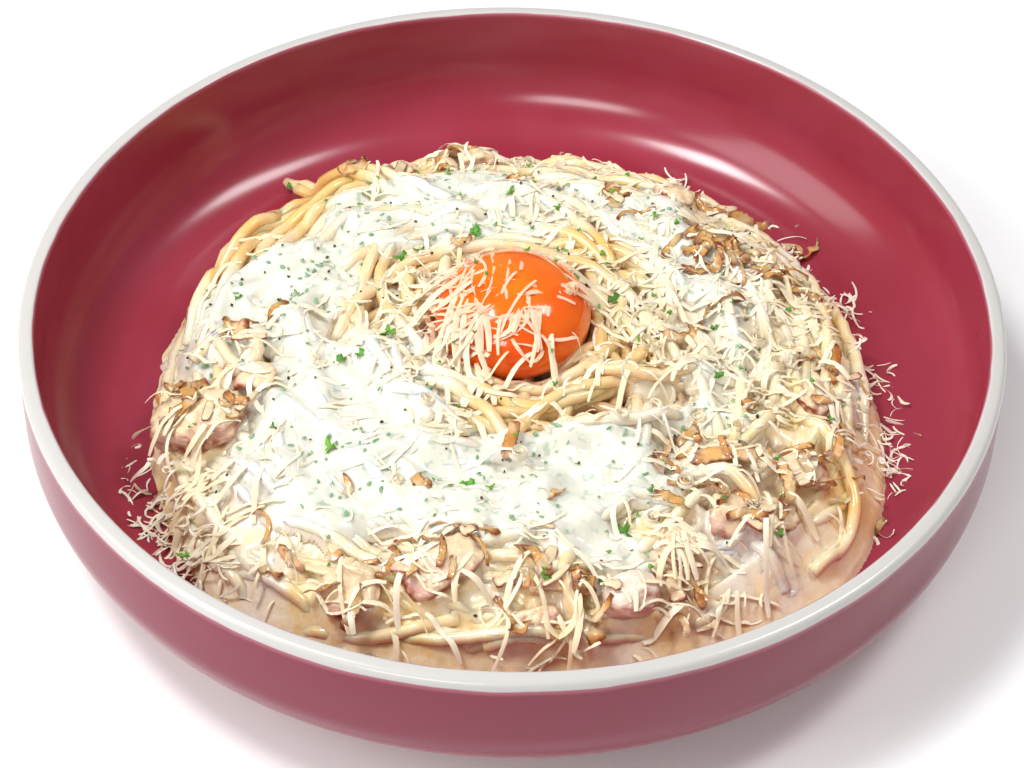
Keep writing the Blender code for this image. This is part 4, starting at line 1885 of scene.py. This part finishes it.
@dataclass
class FineShreds(CheeseShreds):
    """Broken bits of the same cheese, shorter and more curled."""

    length_mm: Span = (2.0, 9.0)
    width_mm: Span = (0.35, 0.8)
    curl_mm: Span = (1.8, 9.0)
    seed: int = 43
    usual_mm: float = 4.0
    step_mm: float = 0.7
    lift_mm: float = 2.2
    lifted: float = 0.5
    roll: float = 0.5


@dataclass
class HerbChips:
    """Chopped parsley: small ruffled bits of leaf."""

    finish: Finish = ChoppedParsley()
    seed: int = 21
    count: int = 90
    thickness: float = 0.2 * MM
    spokes: int = 14

    # Bigger chips: x, y and width in millimetres.
    placed = (
        (-1, 47, 3.2), (-9, 34, 4.0), (-26, 23, 3.6), (-22, 27, 3.0), (-28, -2, 3.8), (-38, -9, 3.0),
        (-34, -9, 3.2), (-39, -36, 4.2), (-9, -46, 3.4), (-4, -48, 2.2), (23, 11, 3.6), (46, 6, 2.6),
        (46, -13, 2.6), (25, -55, 4.0), (33, 43, 2.4), (8, -71, 2.6), (-63, 13, 2.0), (10, 43, 2.2),
        (58, -55, 2.4), (29, -1, 2.4), (20, -67, 2.2), (-70, -53, 3.0), (-56, 73, 2.4), (-16, 56, 2.0),
        (-52, -30, 1.8), (38, -28, 2.0), (3, 18, 1.6),
    )

    def chip(self, rng: np.random.Generator, centre: Array, size: float) -> tuple[Array, list[Array]]:
        """One closed ruffled chip.

        Args:
            rng: where its random numbers come from.
            centre: its middle.
            size: its width.

        Returns:
            The points, and arrays of faces.
        """
        angle = np.arange(self.spokes) * 2 * math.pi / self.spokes
        lobes = 0.3 * np.sin(3 * angle + rng.uniform(0, 6)) + 0.16 * np.sin(7 * angle + rng.uniform(0, 6))
        outline = size / 2 * (0.78 + lobes + rng.normal(0, 0.07, self.spokes))
        stretch = rng.uniform(0.55, 1.0)
        rings = []
        for share in (0.5, 1.0):
            x = share * outline * np.cos(angle)
            y = share * outline * np.sin(angle) * stretch
            z = share**2 * size * (0.2 * np.sin(2 * angle + 1.0) + 0.13 * np.sin(5 * angle))
            rings.append(np.stack([x, y, z], axis=1))
        half = np.concatenate([[[0.0, 0.0, 0.0]], *rings])
        points = np.concatenate([half + (0, 0, self.thickness / 2), half - (0, 0, self.thickness / 2)])
        turn = Matrix.Rotation(rng.uniform(0, 6.28), 3, "Z") @ Matrix.Rotation(rng.normal(0, 0.45), 3, "X")
        points = points @ np.array(turn).T
        inner = np.arange(self.spokes) + 1
        outer = inner + self.spokes
        inner_next, outer_next = np.roll(inner, -1), np.roll(outer, -1)
        fan = np.stack([np.zeros_like(inner), inner, inner_next], axis=1)
        ring = np.stack([inner, outer, outer_next, inner_next], axis=1)
        half_count = len(half)
        side = np.stack([outer_next, outer, outer + half_count, outer_next + half_count], axis=1)
        faces = [fan, ring, fan[:, ::-1] + half_count, ring[:, ::-1] + half_count, side]
        return points + centre, faces

    def build(self, layers: Layers) -> None:
        """Scatters the chips.

        Args:
            layers: what the chips fall on.
        """
        rng = np.random.default_rng(self.seed)
        relief = layers.relief
        batch = Batch()
        density = (relief.radius < LOOSE_RADIUS) * (1.2 + relief.lumps(16 * MM))
        small = pick_places(relief, density, self.count, self.seed)
        chips = [(x * MM, y * MM, size * MM) for x, y, size in self.placed]
        chips += [(x, y, rng.uniform(0.8, 1.7) * MM) for x, y in small]
        for x, y, size in chips:
            reach = size * 0.3
            ground = relief.support(layers.top, np.array([[x, y, 0.0]]), max(reach, relief.cell))[0] - reach
            body = self.chip(rng, np.array([x, y, ground + 0.35 * MM + size * 0.08]), size)
            batch.add(*body, tint=rng.uniform(0.2, 1))
        batch.build("parsley_chips", self.finish, "")


# ---------------------------------------------------------------- studio


@dataclass
class Studio:
    """White paper floor, soft light from the left and overhead, and the camera."""

    camera_place: Triple = (0.00019, -0.49225, 0.50223)
    camera_target: Triple = (0.00019, -0.02535, 0.044)
    camera_roll: float = math.radians(1.185)
    lens_mm: float = 105.81
    floor_radius: float = 4.0
    floor_sides: int = 64
    light_aim: Triple = (0.0, 0.0, 0.03)
    surround: str = "#828284"

    # Name, place, width and height in metres, and watts: a key light, two softboxes overhead and a weak fill.
    lights = (
        ("left_window", (-1.2, -0.3, 0.85), (1.0, 1.0), 12.5),
        ("left_softbox", (-0.54, 0.0, 1.33), (0.36, 0.3), 11),
        ("right_softbox", (0.65, 0.16, 1.2), (0.26, 0.42), 6),
        ("front_fill", (-0.45, -1.5, 1.1), (0.7, 0.35), 9.5),
    )

    def build(self) -> None:
        """Sets up the floor, the lights, the surround and the camera."""
        self.floor()
        self.lamps()
        self.surrounding()
        self.camera()

    def floor(self) -> None:
        """A round sheet of paper, far wider than the view."""
        rim = headed(np.arange(self.floor_sides) * 2 * math.pi / self.floor_sides) * self.floor_radius
        mesh = bpy.data.meshes.new("paper_floor")
        mesh.from_pydata([(x, y, 0.0) for x, y in rim], [], [tuple(range(self.floor_sides))])
        sheet = put("paper_floor", mesh)
        mesh.materials.append(PaperSweep().make())

    def lamps(self) -> None:
        """Soft rectangular lights that face the bowl."""
        for name, place, size, power in self.lights:
            lamp = bpy.data.lights.new(name, "AREA")
            lamp.shape = "RECTANGLE"
            lamp.size, lamp.size_y = size
            lamp.energy = power
            made = put(name, lamp)
            made.location = place
            made.rotation_euler = (Vector(self.light_aim) - made.location).to_track_quat("-Z", "Y").to_euler()

    def surrounding(self) -> None:
        """An even grey room."""
        world = bpy.data.worlds.new("studio_room")
        bpy.context.scene.world = world
        world.use_nodes = True
        background = world.node_tree.nodes["Background"].inputs
        background["Color"].default_value = linear(self.surround)
        background["Strength"].default_value = 1.0

    def camera(self) -> None:
        """A long lens, looking down from the front."""
        lens = bpy.data.cameras.new("camera")
        lens.lens = self.lens_mm
        lens.sensor_width = 36
        made = put("camera", lens)
        aim = (Vector(self.camera_target) - Vector(self.camera_place)).to_track_quat("-Z", "Y")
        turned = aim.to_matrix() @ Matrix.Rotation(self.camera_roll, 3, "Z")
        made.matrix_world = Matrix.Translation(self.camera_place) @ turned.to_4x4()
        bpy.context.scene.camera = made
        bpy.context.scene.view_settings.view_transform = "Standard"


# ---------------------------------------------------------------- the whole dish


CHEESE_SPOTS = (
    (34, 5, 12, 1.1), (25, 19, 9, 0.8), (43, -10, 10, 0.8), (1, 50, 10, 0.5), (22, 42, 10, 0.6),
    (-15, 31, 8, 0.3), (1, 71, 7, 0.8), (62, 17, 9, 0.7), (-43, 28, 8, 0.2), (-24, -28, 8, 0.3),
    (-34, 0, 9, 0.7), (-13, -14, 9, 0.8), (11, -18, 8, 0.7), (51, -29, 8, 0.8), (-74, -38, 6, 1.2),
    (80, -8, 5, 1.2), (-48, 0, 7, 0.3), (60, 40, 9, 0.4), (-70, -50, 6, 0.8), (-25, 66, 8, 0.4),
    (30, 60, 8, 0.5), (70, -10, 8, 0.5), (-60, -62, 5, 0.5), (-60, -40, 8, 0.4), (-18, 12, 8, 0.9),
    (42, -66, 10, 0.9), (-22, -72, 10, 0.7), (10, -76, 9, 0.7), (-23, -2, 7, 0.8), (12, 26, 8, 0.5),
)
FLOOR_CHEESE = (
    (86, -12, 4, 1.2), (87, -22, 4, 1.0), (84, 8, 4, 0.8), (-82, -34, 4, 1.2), (-78, -44, 4, 1.2),
    (-72, -54, 4, 1.2), (-64, -62, 4, 1.0), (78, 34, 4, 0.5), (66, 54, 4, 0.4), (84, -40, 3, 0.6),
    (40, 74, 4, 0.4), (-84, -24, 3, 0.6),
)
PURE_CREAM = ((-40, -44, 13), (0, -47, 12), (-62, 10, 9), (-20, 45, 9), (-55, 26, 7))
CHEESE_COILS = ((38, -44), (31, -52), (-20, 18), (24, -30), (50, -28))
ONION_SPOTS = (
    (45, -37, 8), (10, -70, 10), (-33, -68, 7), (64, -36, 8), (62, 58, 5), (-9, 67, 7), (45, 33, 8),
    (29, 53, 6), (-65, 1, 6, 0.5), (-60, -16, 6), (73, 2, 5), (36, -72, 6), (60, 28, 7), (-46, -62, 5),
    (-30, 66, 5), (-74, -14, 4), (-69, -24, 5), (-10, -66, 4), (9, -74, 5), (56, -56, 4), (62, -48, 4),
    (-14, -58, 5), (36, -50, 5),
)


def grate_cheese(layers: Layers, creamy: Array) -> None:
    """Grates cheese over everything: the heap, the yolk and the bowl's floor.

    Args:
        layers: the food, raised by what lands on it.
        creamy: where the herbed cream shows.
    """
    relief = layers.relief
    low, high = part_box("egg_yolk")
    middle, reach = (low + high) / 2, (high.x - low.x) / 2
    tone = Tone(0.6, relief.blur(creamy * 1.0, 2 * MM), (middle.x, middle.y, reach))
    density = 0.28 + relief.spots(CHEESE_SPOTS) + 0.12 * relief.lumps(9 * MM)
    edge = HEAP_RADIUS + 8 * MM * ease(-relief.y / (50 * MM))
    density *= ease((edge - relief.radius) / (6 * MM))
    for share, places in ((0.65, PURE_CREAM), (0.3, BARE_PASTA), (1.5, SHADED_GAPS)):
        density *= 1 - np.clip(share * relief.spots(places), 0, min(share, 1))
    density *= 1 - 0.6 * (np.hypot(relief.x - middle.x, relief.y - middle.y) < reach + 1 * MM)
    ring = np.clip(relief.spots(FLOOR_CHEESE), 0, 1)
    ring *= (relief.radius > HEAP_RADIUS) * (relief.radius < FLOOR_RADIUS)
    on_yolk = relief.spots([(-5, -1, 8)])
    shreds, fine, pale = CheeseShreds(tone=tone), FineShreds(tone=tone), FineShreds(tone=Tone(0.1))
    first, second = Batch(), Batch()
    shreds.drop(layers, pick_places(relief, density, 340, 31), first)
    shreds.drop(layers, pick_places(relief, density, 290, 32), second)
    shreds.drop(layers, pick_places(relief, on_yolk, 95, 33), second)
    pale.drop(layers, pick_places(relief, ring, 260, 34), second)
    fine.drop(layers, pick_places(relief, density + 0.15 * creamy, 420, 35), second)
    shreds.coil(layers, pick_places(relief, density, 22, 36), second)
    shreds.coil(layers, np.array(CHEESE_COILS) * MM, second)
    shreds.build(first, "cheese_shreds_1")
    shreds.build(second, "cheese_shreds_2")


def main() -> None:
    """Builds the dish and the studio."""
    logging.basicConfig(level=logging.INFO, format="%(name)s %(message)s")
    bowl = Bowl()
    bowl.build()
    relief = Relief(half=96 * MM, cell=0.55 * MM)
    layers = Layers.read(relief, bowl.floor)
    cream = CreamCoat(layers)
    share = cream.share()
    heap = SpaghettiHeap(layers)
    heap.lay_all()
    sauce = Sauce(layers)
    tones = sauce.fill(np.clip(share, 0, 1))
    heap.build(tones)
    sauce.build(tones)
    creamy = cream.build(share)
    wet = replace(layers, top=layers.top.copy())
    Yolk().build(layers)
    creamed, smoked = [CREAMED_CHUNK], [name for name in BACON_NODES if name != CREAMED_CHUNK]
    FriedPieces(creamed, CreamedBacon(), "bacon", ruffle=0.3 * MM, ruffle_size=9 * MM).build(layers)
    FriedPieces(smoked, SmokedBacon(), "bacon", ruffle=0.45 * MM, ruffle_size=6 * MM).build(layers)
    FriedPieces(ONION_NODES, FriedOnion(), "onion", ruffle=0.25 * MM, ruffle_size=4 * MM).build(layers)
    fried = relief.spots(ONION_SPOTS)
    BaconBits().scatter(layers, fried)
    OnionFlakes().scatter(layers, fried + 0.02 * (relief.radius < LOOSE_RADIUS))
    grate_cheese(layers, creamy)
    HerbChips().build(layers)
    DillFlecks().scatter(wet, creamy * (0.8 + 0.3 * relief.lumps(7 * MM)))
    PepperGrains().scatter(wet, (relief.radius < HEAP_RADIUS) * 1.0)
    Studio().build()


if __name__ == "__main__":
    main()
